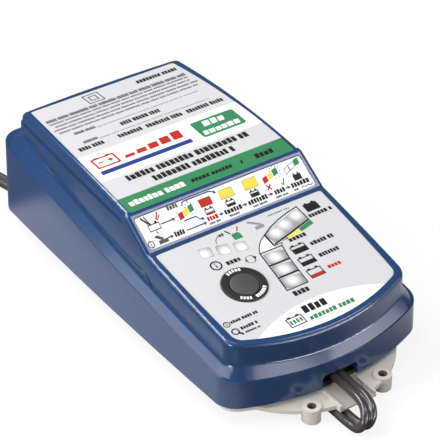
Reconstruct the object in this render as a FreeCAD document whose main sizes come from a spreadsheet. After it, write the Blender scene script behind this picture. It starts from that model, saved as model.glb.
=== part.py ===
import FreeCAD, Part
import math
import os
from FreeCAD import Placement, Rotation, Vector

# Car battery charger: a moulded shell on a base with four screw ears, printed panels over
# frosted indicator windows, one push button, the electronics inside, and the low-voltage lead.
# Millimetres. X runs along the rear edge, -Y is the end where the lead leaves, Z is up.
# The origin is on the floor under the middle of the shell, and the ears' feet stand on z = 0.

os.makedirs("parts", exist_ok=True)
doc = FreeCAD.newDocument("BatteryCharger")
sheet = doc.addObject("Spreadsheet::Sheet", "Dims")
size = {}


def dim(name, value):
    """Put one driving dimension in the sheet under its own name."""
    line = str(len(size) + 1)
    sheet.set("A" + line, name)
    sheet.set("B" + line, str(value))
    sheet.setAlias("B" + line, name)
    size[name] = value


def follow(name, formula):
    """Put one dimension that follows from others in the sheet, as a formula."""
    line = str(len(size) + 1)
    sheet.set("A" + line, name)
    sheet.set("B" + line, "=" + formula)
    sheet.setAlias("B" + line, name)
    doc.recompute()
    size[name] = float(sheet.get(name))


# Shell seen from above
dim("shell_length", 228.0)
dim("shell_width", 120.5)
dim("skirt_side_radius", 2995.0)
dim("skirt_front_radius", 130.0)
dim("skirt_rear_radius", 900.0)
dim("skirt_front_corner", 13.0)
dim("skirt_rear_corner", 12.5)
dim("skirt_draft", 1.2)
dim("shell_wall", 3.0)
dim("tier_wall", 3.6)
dim("roof", 2.9)
dim("ledge_wall", 1.5)

# Skirt and ledge seen from the side
dim("foot_height", 4.9)
dim("base_thickness", 2.2)
dim("seal_thickness", 2.5)
dim("skirt_front_height", 14.4)
dim("ledge_slope", 6.93)
dim("ledge_land", 0.9)
dim("ledge_rise", 10.5)
dim("ledge_rear_setback", 2.0)
dim("ledge_corner", 16.5)
dim("ledge_angle", 45.0)
dim("ledge_fillet", 3.2)

# Platform that carries the panels
dim("platform_margin", 5.05)
follow("platform_width", "shell_width - 2 * platform_margin")
dim("platform_side_radius", 2000.0)
dim("platform_middle", -17.0)
dim("platform_front", 109.4)
dim("platform_rear", 104.6)
dim("platform_front_radius", 115.0)
dim("platform_rear_radius", 900.0)
dim("platform_front_corner", 10.5)
dim("platform_rear_corner", 6.5)
dim("platform_draft", 1.5)
dim("rim_fillet", 2.6)
dim("tier_step", 0.9)
dim("tier_break", 6.0)
dim("tier_height", 60.3)
dim("tier_middle", 60.0)
dim("tier_middle_height", 63.1)
dim("tier_rear_height", 63.7)
dim("tier_corner", 4.0)
dim("sill_step", 0.4)
dim("sill_height", 45.9)
dim("sill_slope", 5.4)
dim("sill_end", 34.0)
dim("sill_bend", 14.0)

# Side profile of the top
dim("crown_radius", 605.0)
dim("crown_top", 70.1)
dim("crown_middle", 58.0)
dim("strip_break", 8.3)
dim("strip_slope", 33.2)
dim("panel_break", 26.85)
dim("panel_slope", 9.57)
dim("break_fillet", 4.0)

# Printed panels and their recesses
dim("label_margin", 5.1)
follow("label_width", "platform_width - 2 * label_margin")
dim("label_side_radius", 1210.0)
dim("label_edge_radius", 6000.0)
dim("label_clearance", 0.15)
dim("label_thickness", 0.5)
dim("recess_depth", 0.9)
dim("upper_label_rear", 98.2)
dim("upper_label_front", 6.9)
dim("strip_label_rear", 9.9)
dim("strip_label_front", 25.3)
dim("control_label_rear", 28.4)
dim("label_corner", 1.4)
dim("control_label_corner", 6.0)
dim("control_label_front", 104.6)
dim("control_label_arc", 111.0)

# Indicator windows on the control panel, measured down the slope from the panel break
dim("column_x", 0.9)
dim("column_drop", 39.7)
dim("column_pitch", 8.95)
dim("column_turn", 7.4)
dim("column_window_width", 11.2)
dim("column_window_height", 7.3)
dim("fan_x", 19.2)
dim("fan_drop", 15.3)
dim("fan_length", 26.0)
dim("fan_width", 8.2)
dim("fan_turn", 18.2)
dim("row_x", -17.9)
dim("row_drop", 14.0)
dim("row_pitch", 9.2)
dim("row_turn", 13.5)
dim("row_window", 6.4)
dim("window_clearance", 0.15)
dim("lens_flange", 0.9)
dim("lens_flange_thickness", 1.4)
dim("lens_depth", 8.5)

# Push button
dim("button_x", -22.9)
dim("button_drop", 39.3)
dim("bezel_radius", 11.6)
dim("bezel_bore", 7.6)
dim("bezel_height", 0.5)
dim("cap_radius", 7.3)
dim("cap_height", 0.6)
dim("cap_dome", 0.7)
dim("cap_flange_radius", 8.8)
dim("cap_flange_thickness", 1.4)
dim("cap_flange_gap", 0.1)
dim("button_hole_radius", 9.2)
dim("stem_radius", 2.2)
dim("stem_length", 3.6)
dim("button_travel", 1.0)

# Control board, held below the panel
dim("control_board_depth", 11.0)
dim("board_thickness", 1.6)
dim("control_board_width", 84.0)
dim("control_board_length", 50.0)
dim("control_board_drop", 34.5)
dim("control_post_x", 38.0)
dim("control_post_spread", 21.5)
dim("post_radius", 3.0)
dim("small_screw_radius", 1.2)
dim("small_head_radius", 2.4)
dim("small_head_height", 1.6)
dim("screw_clearance", 0.03)
dim("led_radius", 1.5)
dim("led_height", 2.1)
dim("switch_side", 6.2)
dim("switch_height", 3.6)
dim("plunger_radius", 1.75)
dim("plunger_length", 2.4)
dim("plunger_well", 2.1)
dim("plunger_clearance", 0.08)

# Base plate with its ears
dim("base_inset", 3.4)
dim("seal_width", 1.7)
dim("lip_width", 5.3)
dim("lip_height", 3.0)
dim("tray_clearance", 0.4)
dim("tray_wall", 2.0)
dim("tray_height", 6.5)
dim("flange_radius", 51.3)
dim("flange_reach", 12.0)
dim("rear_flange_reach", 14.0)
dim("ear_spacing_x", 42.8)
dim("ear_spacing_y", 238.8)
dim("ear_radius", 4.7)
dim("ear_hole_radius", 2.25)
dim("ear_height", 8.2)
dim("ear_fillet", 0.6)
dim("channel_width", 19.0)
dim("channel_reach", 14.0)
dim("channel_drop", 1.2)
dim("rail_width", 1.3)

# Screws that join base and shell
dim("case_screw_x", 41.0)
dim("case_screw_front", 93.0)
dim("case_screw_rear", 98.0)
dim("case_screw_radius", 1.6)
dim("case_head_radius", 3.1)
dim("case_head_height", 2.0)
dim("case_head_clearance", 0.3)
dim("case_head_depth", 2.6)
dim("case_screw_length", 18.0)
dim("case_post_radius", 3.9)
dim("base_post_radius", 4.5)
dim("base_post_height", 3.8)
dim("post_gap", 0.05)

# Main board and what stands on it
dim("main_board_width", 88.0)
dim("main_board_front", 85.0)
dim("main_board_rear", 90.0)
dim("standoff_height", 5.0)
dim("standoff_x", 37.0)
dim("standoff_front", 78.0)
dim("standoff_rear", 82.0)
dim("core_width", 36.0)
dim("core_depth", 15.0)
dim("core_height", 29.0)
dim("core_leg", 9.0)
dim("core_yoke", 5.5)
dim("core_x", 4.0)
dim("core_y", 28.0)
dim("winding_gap", 0.4)
dim("winding_reach", 6.0)
dim("bobbin_thickness", 1.2)
dim("bobbin_step", 1.0)
dim("choke_corner", 1.5)
dim("choke_radius", 8.5)
dim("choke_wire_radius", 4.4)
dim("choke_x", -26.0)
dim("choke_y", 62.0)
dim("bulk_radius", 9.0)
dim("bulk_height", 34.0)
dim("bulk_x", -28.0)
dim("bulk_y", 30.0)
dim("smoothing_radius", 5.0)
dim("smoothing_height", 18.0)
dim("smoothing_x", -22.0)
dim("smoothing_y", -30.0)
dim("smoothing_pitch", 12.5)
dim("sink_x", 31.0)
dim("sink_y", 14.0)
dim("sink_length", 78.0)
dim("sink_height", 30.0)
dim("sink_base", 3.0)
dim("fin_length", 7.0)
dim("fin_thickness", 1.4)
dim("fin_count", 8)
dim("device_width", 10.2)
dim("device_depth", 4.5)
dim("device_height", 15.5)
dim("device_lift", 4.0)
dim("device_pitch", 22.0)
dim("fuse_radius", 2.6)
dim("fuse_length", 20.0)
dim("fuse_x", -8.0)
dim("fuse_y", 80.0)
dim("film_width", 26.0)
dim("film_depth", 10.0)
dim("film_height", 17.0)
dim("film_x", 8.0)
dim("film_y", 60.0)
dim("link_width", 18.0)
dim("link_header_depth", 5.0)
dim("link_header_height", 6.0)
dim("link_thickness", 1.2)
dim("link_y", -62.0)

# Strain relief, front opening and rear gland
dim("mouth_width", 21.0)
dim("mouth_height", 7.6)
dim("mouth_corner", 2.4)
dim("clamp_width", 22.0)
dim("clamp_depth", 6.0)
dim("clamp_height", 9.0)
dim("clamp_setback", 6.3)
dim("clamp_screw_x", 8.4)
dim("gland_x", 26.0)
dim("gland_z", 29.5)
dim("gland_radius", 5.6)
dim("gland_bore", 3.4)
dim("gland_flange_radius", 8.4)
dim("gland_flange_thickness", 1.6)
dim("gland_reach", 9.0)
dim("gland_nut_radius", 8.0)
dim("gland_nut_thickness", 3.0)
dim("gland_clearance", 0.05)

# Low-voltage lead: a flat twin
dim("lead_width", 8.4)
dim("lead_thickness", 4.3)
dim("lead_exit_z", 11.8)
dim("lead_floor_gap", 0.05)
dim("tie_thickness", 0.8)
dim("tie_width", 9.0)
dim("tie_gap", 0.15)
dim("turn_gap", 0.5)
dim("layer_gap", 0.5)
dim("coil_start_x", -54.3)
dim("loop_reach", 28.4)
dim("tail_length", 43.6)
dim("tie_corner", 1.5)
dim("coil_y", 317.6)
dim("coil_inner_radius", 33.5)
dim("plug_width", 14.0)
dim("plug_thickness", 9.0)
dim("plug_length", 30.0)
dim("plug_corner", 2.0)
dim("contact_radius", 2.0)
dim("contact_pitch", 7.0)
dim("contact_length", 9.0)
dim("socket_collar_radius", 3.2)

doc.recompute()
BIG = 400.0


def rad(name):
    return math.radians(size[name])


def at(obj, x="0", y="0", z="0"):
    """Bind an object's position to the sheet."""
    for axis, expression in (("x", x), ("y", y), ("z", z)):
        obj.setExpression("Placement.Base." + axis, expression)
    return obj


def box(name, length, width, height, x="0", y="0", z="0"):
    obj = doc.addObject("Part::Box", name)
    obj.setExpression("Length", length)
    obj.setExpression("Width", width)
    obj.setExpression("Height", height)
    return at(obj, x, y, z)


def cylinder(name, radius, height, x="0", y="0", z="0"):
    obj = doc.addObject("Part::Cylinder", name)
    obj.setExpression("Radius", radius)
    obj.setExpression("Height", height)
    return at(obj, x, y, z)


def rod(name, radius, height, place):
    """A cylinder with its own placement."""
    obj = doc.addObject("Part::Cylinder", name)
    obj.setExpression("Radius", radius)
    obj.setExpression("Height", height)
    obj.Placement = place
    return obj


def fuse(name, parts):
    obj = doc.addObject("Part::MultiFuse", name)
    obj.Shapes = parts
    return obj


def cut(name, base, tool):
    obj = doc.addObject("Part::Cut", name)
    obj.Base = base
    obj.Tool = tool
    return obj


def common(name, parts):
    obj = doc.addObject("Part::MultiCommon", name)
    obj.Shapes = parts
    return obj


def group(name, parts):
    obj = doc.addObject("Part::Compound", name)
    obj.Links = parts
    return obj


def new_body(name):
    return doc.addObject("PartDesign::Body", name)


def sketch_on(body, name, role, edges, place=None):
    """A sketch on one of the body's own origin planes, shifted or tilted by place."""
    sketch = body.newObject("Sketcher::SketchObject", name)
    plane = [f for f in body.Origin.OriginFeatures if f.Role == role][0]
    sketch.AttachmentSupport = [(plane, "")]
    sketch.MapMode = "FlatFace"
    if place is not None:
        sketch.AttachmentOffset = place
    for edge in edges:
        sketch.addGeometry(edge, False)
    return sketch


def pad(body, name, sketch, length, taper=0.0, midplane=False):
    feature = body.newObject("PartDesign::Pad", name)
    feature.Profile = sketch
    feature.setExpression("Length", length)
    feature.TaperAngle = -taper
    feature.Midplane = midplane
    body.Tip = feature
    return feature


def pocket_across(body, name, sketch):
    """Cut the sketch through the whole body, both ways from its plane."""
    feature = body.newObject("PartDesign::Pocket", name)
    feature.Profile = sketch
    feature.Length = BIG
    feature.Midplane = True
    body.Tip = feature
    return feature


def line(a, b):
    return Part.LineSegment(Vector(*a), Vector(*b))


def arc(a, middle, b):
    return Part.Arc(Vector(*a), Vector(*middle), Vector(*b))


def polygon(points):
    loop = points + [points[0]]
    return [line((p[0], p[1], 0), (q[0], q[1], 0)) for p, q in zip(loop, loop[1:])]


# Outlines seen from above: four large arcs joined by corner arcs. Moving the outline in
# keeps every centre, so nested outlines stay parallel.

def meeting(c1, r1, c2, r2, near):
    """The crossing of two circles that lies nearest to a point."""
    dx = c2[0] - c1[0]
    dy = c2[1] - c1[1]
    d = math.hypot(dx, dy)
    a = (r1 * r1 - r2 * r2 + d * d) / (2 * d)
    h = math.sqrt(max(r1 * r1 - a * a, 0.0))
    mx = c1[0] + a * dx / d
    my = c1[1] + a * dy / d
    options = [(mx + h * dy / d, my - h * dx / d), (mx - h * dy / d, my + h * dx / d)]
    return min(options, key=lambda p: math.hypot(p[0] - near[0], p[1] - near[1]))


def toward(centre, point, radius):
    d = math.hypot(point[0] - centre[0], point[1] - centre[1])
    return (centre[0] + (point[0] - centre[0]) * radius / d, centre[1] + (point[1] - centre[1]) * radius / d)


def arc_about(centre, radius, a, b):
    middle = toward(centre, ((a[0] + b[0]) / 2, (a[1] + b[1]) / 2), radius)
    return arc((a[0], a[1], 0), (middle[0], middle[1], 0), (b[0], b[1], 0))


def outline(width, side_radius, middle, front, front_radius, rear, rear_radius, front_corner, rear_corner,
            inset=0.0):
    """Eight arcs of a rounded outline; front and rear are its ends' y, inset moves it in."""
    least = 0.8
    rf = max(front_corner, inset + least)
    rr = max(rear_corner, inset + least)
    side = (width / 2 - side_radius, middle)
    nose = (0.0, front + front_radius)
    tail = (0.0, rear - rear_radius)
    cf = meeting(side, side_radius - rf, nose, front_radius - rf, (width / 2, front))
    cr = meeting(side, side_radius - rr, tail, rear_radius - rr, (width / 2, rear))
    f1 = toward(nose, cf, front_radius - inset)
    f2 = toward(side, cf, side_radius - inset)
    r1 = toward(side, cr, side_radius - inset)
    r2 = toward(tail, cr, rear_radius - inset)

    def flip(p):
        return (-p[0], p[1])

    other = (-side[0], side[1])
    return [arc_about(nose, front_radius - inset, flip(f1), f1), arc_about(cf, rf - inset, f1, f2),
            arc_about(side, side_radius - inset, f2, r1), arc_about(cr, rr - inset, r1, r2),
            arc_about(tail, rear_radius - inset, r2, flip(r2)),
            arc_about(flip(cr), rr - inset, flip(r2), flip(r1)),
            arc_about(other, side_radius - inset, flip(r1), flip(f2)),
            arc_about(flip(cf), rf - inset, flip(f2), flip(f1))]


HALF = size["shell_length"] / 2


def skirt_outline(inset=0.0):
    return outline(size["shell_width"], size["skirt_side_radius"], 0.0, -HALF, size["skirt_front_radius"],
                   HALF, size["skirt_rear_radius"], size["skirt_front_corner"], size["skirt_rear_corner"],
                   inset)


def platform_outline(inset=0.0):
    return outline(size["platform_width"], size["platform_side_radius"], size["platform_middle"],
                   -size["platform_front"], size["platform_front_radius"], size["platform_rear"],
                   size["platform_rear_radius"], size["platform_front_corner"],
                   size["platform_rear_corner"], inset)


# Levels that several pieces share
BASE_TOP = size["foot_height"] + size["base_thickness"]
SKIRT_BOTTOM = BASE_TOP + size["seal_thickness"]
SKIRT_FRONT_TOP = SKIRT_BOTTOM + size["skirt_front_height"]
CROWN_CENTRE = (size["crown_middle"], size["crown_top"] - size["crown_radius"])
STRIP_REAR = (-size["strip_break"], CROWN_CENTRE[1] + math.sqrt(
    size["crown_radius"] ** 2 - (size["strip_break"] + size["crown_middle"]) ** 2))
PANEL_REAR = (-size["panel_break"], STRIP_REAR[1] - math.tan(rad("strip_slope"))
              * (size["panel_break"] - size["strip_break"]))


def ledge_z(y):
    return SKIRT_FRONT_TOP + math.tan(rad("ledge_slope")) * (y + HALF)


def dropped(point, angle, drop):
    return (point[0] + math.sin(angle) * drop, point[1] - math.cos(angle) * drop)


def on_line(point, angle, y):
    return (y, point[1] + math.tan(angle) * (y - point[0]))


def top_profile(drop, front, rear):
    """The top seen from the side, from front to rear, moved in by drop."""
    a1 = rad("panel_slope")
    a2 = rad("strip_slope")
    low = dropped(PANEL_REAR, a1, drop)
    strip = dropped(STRIP_REAR, a2, drop)
    crown = size["crown_radius"] - drop
    hollow = size["break_fillet"] + drop
    round_over = max(size["break_fillet"] - drop, 0.4)
    # The hollow bend between panel and strip
    up1 = dropped(low, a1, -hollow)
    up2 = dropped(strip, a2, -hollow)
    y = (up2[1] - up1[1] + math.tan(a1) * up1[0] - math.tan(a2) * up2[0]) / (math.tan(a1) - math.tan(a2))
    centre = on_line(up1, a1, y)
    t1 = dropped(centre, a1, hollow)
    t2 = dropped(centre, a2, hollow)
    # The rounded bend between strip and crown
    inner = dropped(strip, a2, round_over)
    foot = on_line(inner, a2, strip[0])
    step = 40.0
    far = on_line(inner, a2, strip[0] - step)
    near = on_line(inner, a2, strip[0] + step)
    dy = near[0] - far[0]
    dz = near[1] - far[1]
    qa = dy * dy + dz * dz
    qb = 2 * (dy * (far[0] - CROWN_CENTRE[0]) + dz * (far[1] - CROWN_CENTRE[1]))
    qc = (far[0] - CROWN_CENTRE[0]) ** 2 + (far[1] - CROWN_CENTRE[1]) ** 2 - (crown - round_over) ** 2
    roots = [(-qb + s * math.sqrt(qb * qb - 4 * qa * qc)) / (2 * qa) for s in (-1, 1)]
    points = [(far[0] + k * dy, far[1] + k * dz) for k in roots]
    bend = min(points, key=lambda p: abs(p[0] - foot[0]))
    t3 = dropped(bend, a2, -round_over)
    t4 = toward(CROWN_CENTRE, bend, crown)
    start = on_line(low, a1, front)
    end = (rear, CROWN_CENTRE[1] + math.sqrt(crown ** 2 - (rear - CROWN_CENTRE[0]) ** 2))

    def flat(p, q):
        return line((p[0], p[1], 0), (q[0], q[1], 0))

    edges = [flat(start, t1), arc_about(centre, hollow, t1, t2), flat(t2, t3),
             arc_about(bend, round_over, t3, t4), arc_about(CROWN_CENTRE, crown, t4, end)]
    return edges, start, end


def above_profile(drop, front=-BIG / 2, rear=BIG / 2):
    edges, start, end = top_profile(drop, front, rear)
    sky = BIG
    return edges + [line((end[0], end[1], 0), (end[0], sky, 0)), line((end[0], sky, 0), (start[0], sky, 0)),
                    line((start[0], sky, 0), (start[0], start[1], 0))]


def lifted(z):
    return Placement(Vector(0, 0, z), Rotation())


def tilted(y, z, angle):
    return Placement(Vector(0, y, z), Rotation(Vector(1, 0, 0), angle))


# The control panel has its own frame: x across, v up the slope, n out of the surface,
# with its origin where the panel meets the sloping strip.

def on_panel(x, drop, depth):
    """A placement on the panel: drop runs down the slope, depth goes into the shell."""
    frame = tilted(PANEL_REAR[0], PANEL_REAR[1], size["panel_slope"])
    return frame.multiply(Placement(Vector(x, -drop, -depth), Rotation()))


def panel_cylinder(name, radius, height, x, drop, depth):
    """A cylinder square to the panel whose lower end is at depth."""
    obj = doc.addObject("Part::Cylinder", name)
    obj.setExpression("Radius", radius)
    obj.setExpression("Height", height)
    obj.Placement = on_panel(x, drop, depth)
    return obj


def panel_box(name, length, width, height, x, drop, depth):
    """A box square to the panel, centred on x and drop, whose lower face is at depth."""
    obj = doc.addObject("Part::Box", name)
    obj.setExpression("Length", length)
    obj.setExpression("Width", width)
    obj.setExpression("Height", height)
    obj.Placement = on_panel(x - obj.evalExpression(length) / 2, drop + obj.evalExpression(width) / 2, depth)
    return obj


nodes = {}



def pocket_above(body, name, edges):
    return pocket_across(body, name, sketch_on(body, name + "Sketch", "YZ_Plane", edges))


def edges_where(shape, test):
    """Numbers of the edges whose middle point passes the test."""
    found = []
    for number, edge in enumerate(shape.Edges, 1):
        middle = edge.valueAt((edge.FirstParameter + edge.LastParameter) / 2)
        if test(middle, edge):
            found.append(number)
    return found


def round_body(body, name, radius, test):
    """Fillet the body's edges that pass the test."""
    doc.recompute()
    before = body.Tip
    numbers = edges_where(before.Shape, test)
    feature = body.newObject("PartDesign::Fillet", name)
    feature.Base = (before, ["Edge%d" % n for n in numbers])
    feature.setExpression("Radius", radius)
    body.Tip = feature
    doc.recompute()
    return feature


def round_part(name, base, radius, test):
    """The same for a plain shape."""
    doc.recompute()
    feature = doc.addObject("Part::Fillet", name)
    feature.Base = base
    feature.Edges = [(n, size[radius], size[radius]) for n in edges_where(base.Shape, test)]
    doc.recompute()
    return feature


def profile_z(y):
    """Height of the sharp side profile at y."""
    if y > -size["strip_break"]:
        return CROWN_CENTRE[1] + math.sqrt(size["crown_radius"] ** 2 - (y - CROWN_CENTRE[0]) ** 2)
    if y > -size["panel_break"]:
        return on_line(STRIP_REAR, rad("strip_slope"), y)[1]
    return on_line(PANEL_REAR, rad("panel_slope"), y)[1]


def is_rim(middle, edge):
    lengthwise = abs(edge.tangentAt((edge.FirstParameter + edge.LastParameter) / 2).z) < 0.75
    aside = abs(middle.x) > 0.36 * size["platform_width"] or abs(middle.y) > 0.91 * size["platform_rear"]
    return aside and lengthwise and abs(middle.z - profile_z(middle.y)) < 0.8


# Outer form of the shell: skirt with its sloping ledge, two tiers and a sill, each cut from
# the side by its own profile
skirt = new_body("SkirtAndLedge")
skirt_sketch = sketch_on(skirt, "SkirtSketch", "XY_Plane", skirt_outline(), lifted(SKIRT_BOTTOM))
pad(skirt, "SkirtPad", skirt_sketch, "Dims.crown_top", size["skirt_draft"])
pocket_above(skirt, "SkirtTop", polygon([(-BIG, ledge_z(-BIG)), (BIG, ledge_z(BIG)), (BIG, BIG),
                                         (-BIG, BIG)]))
tilt = math.cos(rad("ledge_slope"))
ledge_edges = outline(size["shell_width"], size["skirt_side_radius"], HALF / tilt, 0.0,
                      size["skirt_front_radius"], size["shell_length"] / tilt - size["ledge_rear_setback"],
                      size["skirt_rear_radius"], size["ledge_corner"], size["ledge_corner"],
                      size["ledge_land"] + size["skirt_front_height"] * math.tan(rad("skirt_draft")))
ledge_sketch = sketch_on(skirt, "LedgeSketch", "XY_Plane", ledge_edges,
                         tilted(-HALF, SKIRT_FRONT_TOP, size["ledge_slope"]))
pad(skirt, "LedgePad", ledge_sketch, "Dims.ledge_rise", size["ledge_angle"])

lower_tier = new_body("LowerTier")
lower_sketch = sketch_on(lower_tier, "LowerTierSketch", "XY_Plane", platform_outline(), lifted(SKIRT_BOTTOM))
pad(lower_tier, "LowerTierPad", lower_sketch, "Dims.crown_top", size["platform_draft"])
tier_front = -size["tier_break"]
rc = size["tier_corner"]
tier_rear = size["platform_rear"]
above_tier = [arc((tier_front, size["tier_height"] + rc, 0),
                  (tier_front + 0.3 * rc, size["tier_height"] + 0.3 * rc, 0),
                  (tier_front + rc, size["tier_height"] + 0.08 * rc, 0)),
              arc((tier_front + rc, size["tier_height"] + 0.08 * rc, 0),
                  (size["tier_middle"], size["tier_middle_height"], 0),
                  (tier_rear, size["tier_rear_height"], 0)),
              line((tier_rear, size["tier_rear_height"], 0), (BIG, size["tier_rear_height"], 0)),
              line((BIG, size["tier_rear_height"], 0), (BIG, BIG, 0)),
              line((BIG, BIG, 0), (tier_front, BIG, 0)),
              line((tier_front, BIG, 0), (tier_front, size["tier_height"] + rc, 0))]
pocket_above(lower_tier, "LowerTierTop", above_profile(0.0))
round_body(lower_tier, "LowerRim", "Dims.rim_fillet", is_rim)
pocket_above(lower_tier, "LowerTierRear", above_tier)

upper_tier = new_body("UpperTier")
upper_sketch = sketch_on(upper_tier, "UpperTierSketch", "XY_Plane", platform_outline(size["tier_step"]),
                         lifted(SKIRT_BOTTOM))
pad(upper_tier, "UpperTierPad", upper_sketch, "Dims.crown_top", size["platform_draft"])
pocket_above(upper_tier, "UpperTierTop", above_profile(0.0))
round_body(upper_tier, "UpperRim", "Dims.rim_fillet", is_rim)

sill = new_body("Sill")
sill_sketch = sketch_on(sill, "SillSketch", "XY_Plane", platform_outline(-size["sill_step"]),
                        lifted(SKIRT_BOTTOM))
pad(sill, "SillPad", sill_sketch, "Dims.crown_top", size["platform_draft"])


def sill_z(y):
    return size["sill_height"] + math.tan(rad("sill_slope")) * y


# The sill's top edge bends down at its front end and runs out into the ledge
bend_y = -size["sill_end"] + size["sill_bend"]
low_z = ledge_z(-size["sill_end"]) + 2.5
mid_y = bend_y - 0.75 * size["sill_bend"]
mid_z = low_z + 0.6 * (sill_z(bend_y) - low_z)
above_sill = [line((BIG, sill_z(BIG), 0), (bend_y, sill_z(bend_y), 0)),
              arc((bend_y, sill_z(bend_y), 0), (mid_y, mid_z, 0), (-size["sill_end"], low_z, 0)),
              line((-size["sill_end"], low_z, 0), (-size["sill_end"], -BIG, 0)),
              line((-size["sill_end"], -BIG, 0), (-BIG, -BIG, 0)), line((-BIG, -BIG, 0), (-BIG, BIG, 0)),
              line((-BIG, BIG, 0), (BIG, BIG, 0)), line((BIG, BIG, 0), (BIG, sill_z(BIG), 0))]
pocket_above(sill, "SillTop", above_sill)

doc.recompute()
lower_form = fuse("LowerForm", [skirt, lower_tier])
doc.recompute()


def at_ledge_foot(middle, edge):
    """True along the line where the ledge meets the platform wall."""
    rise = middle.z - ledge_z(middle.y)
    if not 3.0 < rise < 10.0:
        return False
    inset = (middle.z - SKIRT_BOTTOM) * math.tan(rad("platform_draft"))
    wall = Part.Wire([e.toShape() for e in platform_outline(inset)])
    gap = wall.distToShape(Part.Vertex(Vector(middle.x, middle.y, 0)))[0]
    return gap < 0.08


form = round_part("LedgeBlend", lower_form, "ledge_fillet", at_ledge_foot)
outer_form = fuse("OuterForm", [form, upper_tier, sill])

# Room inside the shell, with a lip left round the bottom for the seal
lip_room = new_body("LipRoom")
lip_sketch = sketch_on(lip_room, "LipRoomSketch", "XY_Plane", skirt_outline(size["lip_width"]))
pad(lip_room, "LipRoomPad", lip_sketch, "Dims.foot_height + Dims.base_thickness + Dims.seal_thickness + 5")
skirt_room = new_body("SkirtRoom")
room_sketch = sketch_on(skirt_room, "SkirtRoomSketch", "XY_Plane", skirt_outline(size["shell_wall"]),
                        lifted(SKIRT_BOTTOM + size["lip_height"]))
pad(skirt_room, "SkirtRoomPad", room_sketch, "Dims.crown_top", size["skirt_draft"])
roof_z = -size["ledge_wall"]
pocket_above(skirt_room, "SkirtRoomTop", polygon([(-BIG, ledge_z(-BIG) + roof_z),
                                                  (BIG, ledge_z(BIG) + roof_z),
                                                  (BIG, BIG), (-BIG, BIG)]))
tier_room = new_body("TierRoom")
tier_room_sketch = sketch_on(tier_room, "TierRoomSketch", "XY_Plane", platform_outline(size["tier_wall"]),
                             lifted(SKIRT_BOTTOM + size["lip_height"]))
pad(tier_room, "TierRoomPad", tier_room_sketch, "Dims.crown_top", size["platform_draft"])
pocket_above(tier_room, "TierRoomTop", above_profile(size["roof"]))
room = fuse("Room", [lip_room, skirt_room, tier_room])
hollow = cut("HollowForm", outer_form, room)


def below_profile(drop):
    edges, start, end = top_profile(drop, -BIG / 2, BIG / 2)
    return edges + [line((end[0], end[1], 0), (end[0], -BIG, 0)),
                    line((end[0], -BIG, 0), (start[0], -BIG, 0)),
                    line((start[0], -BIG, 0), (start[0], start[1], 0))]


def label_plan(rear, front, corner_front, corner_rear, front_radius, grow=0.0):
    return outline(size["label_width"], size["label_side_radius"], size["platform_middle"], front,
                   front_radius, rear, size["label_edge_radius"], corner_front, corner_rear, -grow)


def label_recess(name, plan):
    """Everything above the recess floor inside the label's outline."""
    body = new_body(name)
    pad(body, name + "Pad", sketch_on(body, name + "Sketch", "XY_Plane", plan), "2 * Dims.crown_top")
    pocket_above(body, name + "Floor", below_profile(size["recess_depth"]))
    return body


def label_sheet(name, plan):
    """The printed label itself: a sheet that follows the recess floor."""
    body = new_body(name)
    pad(body, name + "Pad", sketch_on(body, name + "Sketch", "XY_Plane", plan), "2 * Dims.crown_top")
    pocket_above(body, name + "Back", below_profile(size["recess_depth"]))
    pocket_above(body, name + "Face", above_profile(size["recess_depth"] - size["label_thickness"]))
    return body


small = size["label_corner"]
soft = size["control_label_corner"]
edge_r = size["label_edge_radius"]
label_shapes = {
    "LabelUpper": (size["upper_label_rear"], -size["upper_label_front"], small, small, edge_r),
    "LabelFlow": (-size["strip_label_rear"], -size["strip_label_front"], small, small, edge_r),
    "LabelControl": (-size["control_label_rear"], -size["control_label_front"], soft, small,
                     size["control_label_arc"]),
}
sheets = {}
recesses = []
for name, values in label_shapes.items():
    sheets[name] = label_sheet(name, label_plan(*values))
    recesses.append(label_recess(name + "Recess", label_plan(*values, grow=size["label_clearance"])))

# Windows: round-cornered blocks square to the panel, each on a flange under the roof
ROOF = size["roof"]


def window(name, width, height, x, drop, turn, top, bottom, grow=0.0):
    """A round-cornered block between two depths; turn is the tilt of its long side."""
    body = new_body(name)
    c = min(width, height) * 0.16 + grow
    w = width / 2 + grow
    h = height / 2 + grow
    edges = []
    marks = [(w, -h + c), (w, h - c), (w - c, h), (-w + c, h), (-w, h - c), (-w, -h + c), (-w + c, -h),
             (w - c, -h)]
    for k in range(4):
        a = marks[2 * k]
        b = marks[2 * k + 1]
        n = marks[(2 * k + 2) % 8]
        centre = [(w - c, h - c), (-w + c, h - c), (-w + c, -h + c), (w - c, -h + c)][k]
        edges.append(line((a[0], a[1], 0), (b[0], b[1], 0)))
        edges.append(arc_about(centre, c, b, n))
    pad(body, name + "Pad", sketch_on(body, name + "Sketch", "XY_Plane", edges), str(bottom - top))
    body.Placement = on_panel(x, drop, bottom).multiply(Placement(Vector(), Rotation(Vector(0, 0, 1), turn)))
    return body


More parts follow.
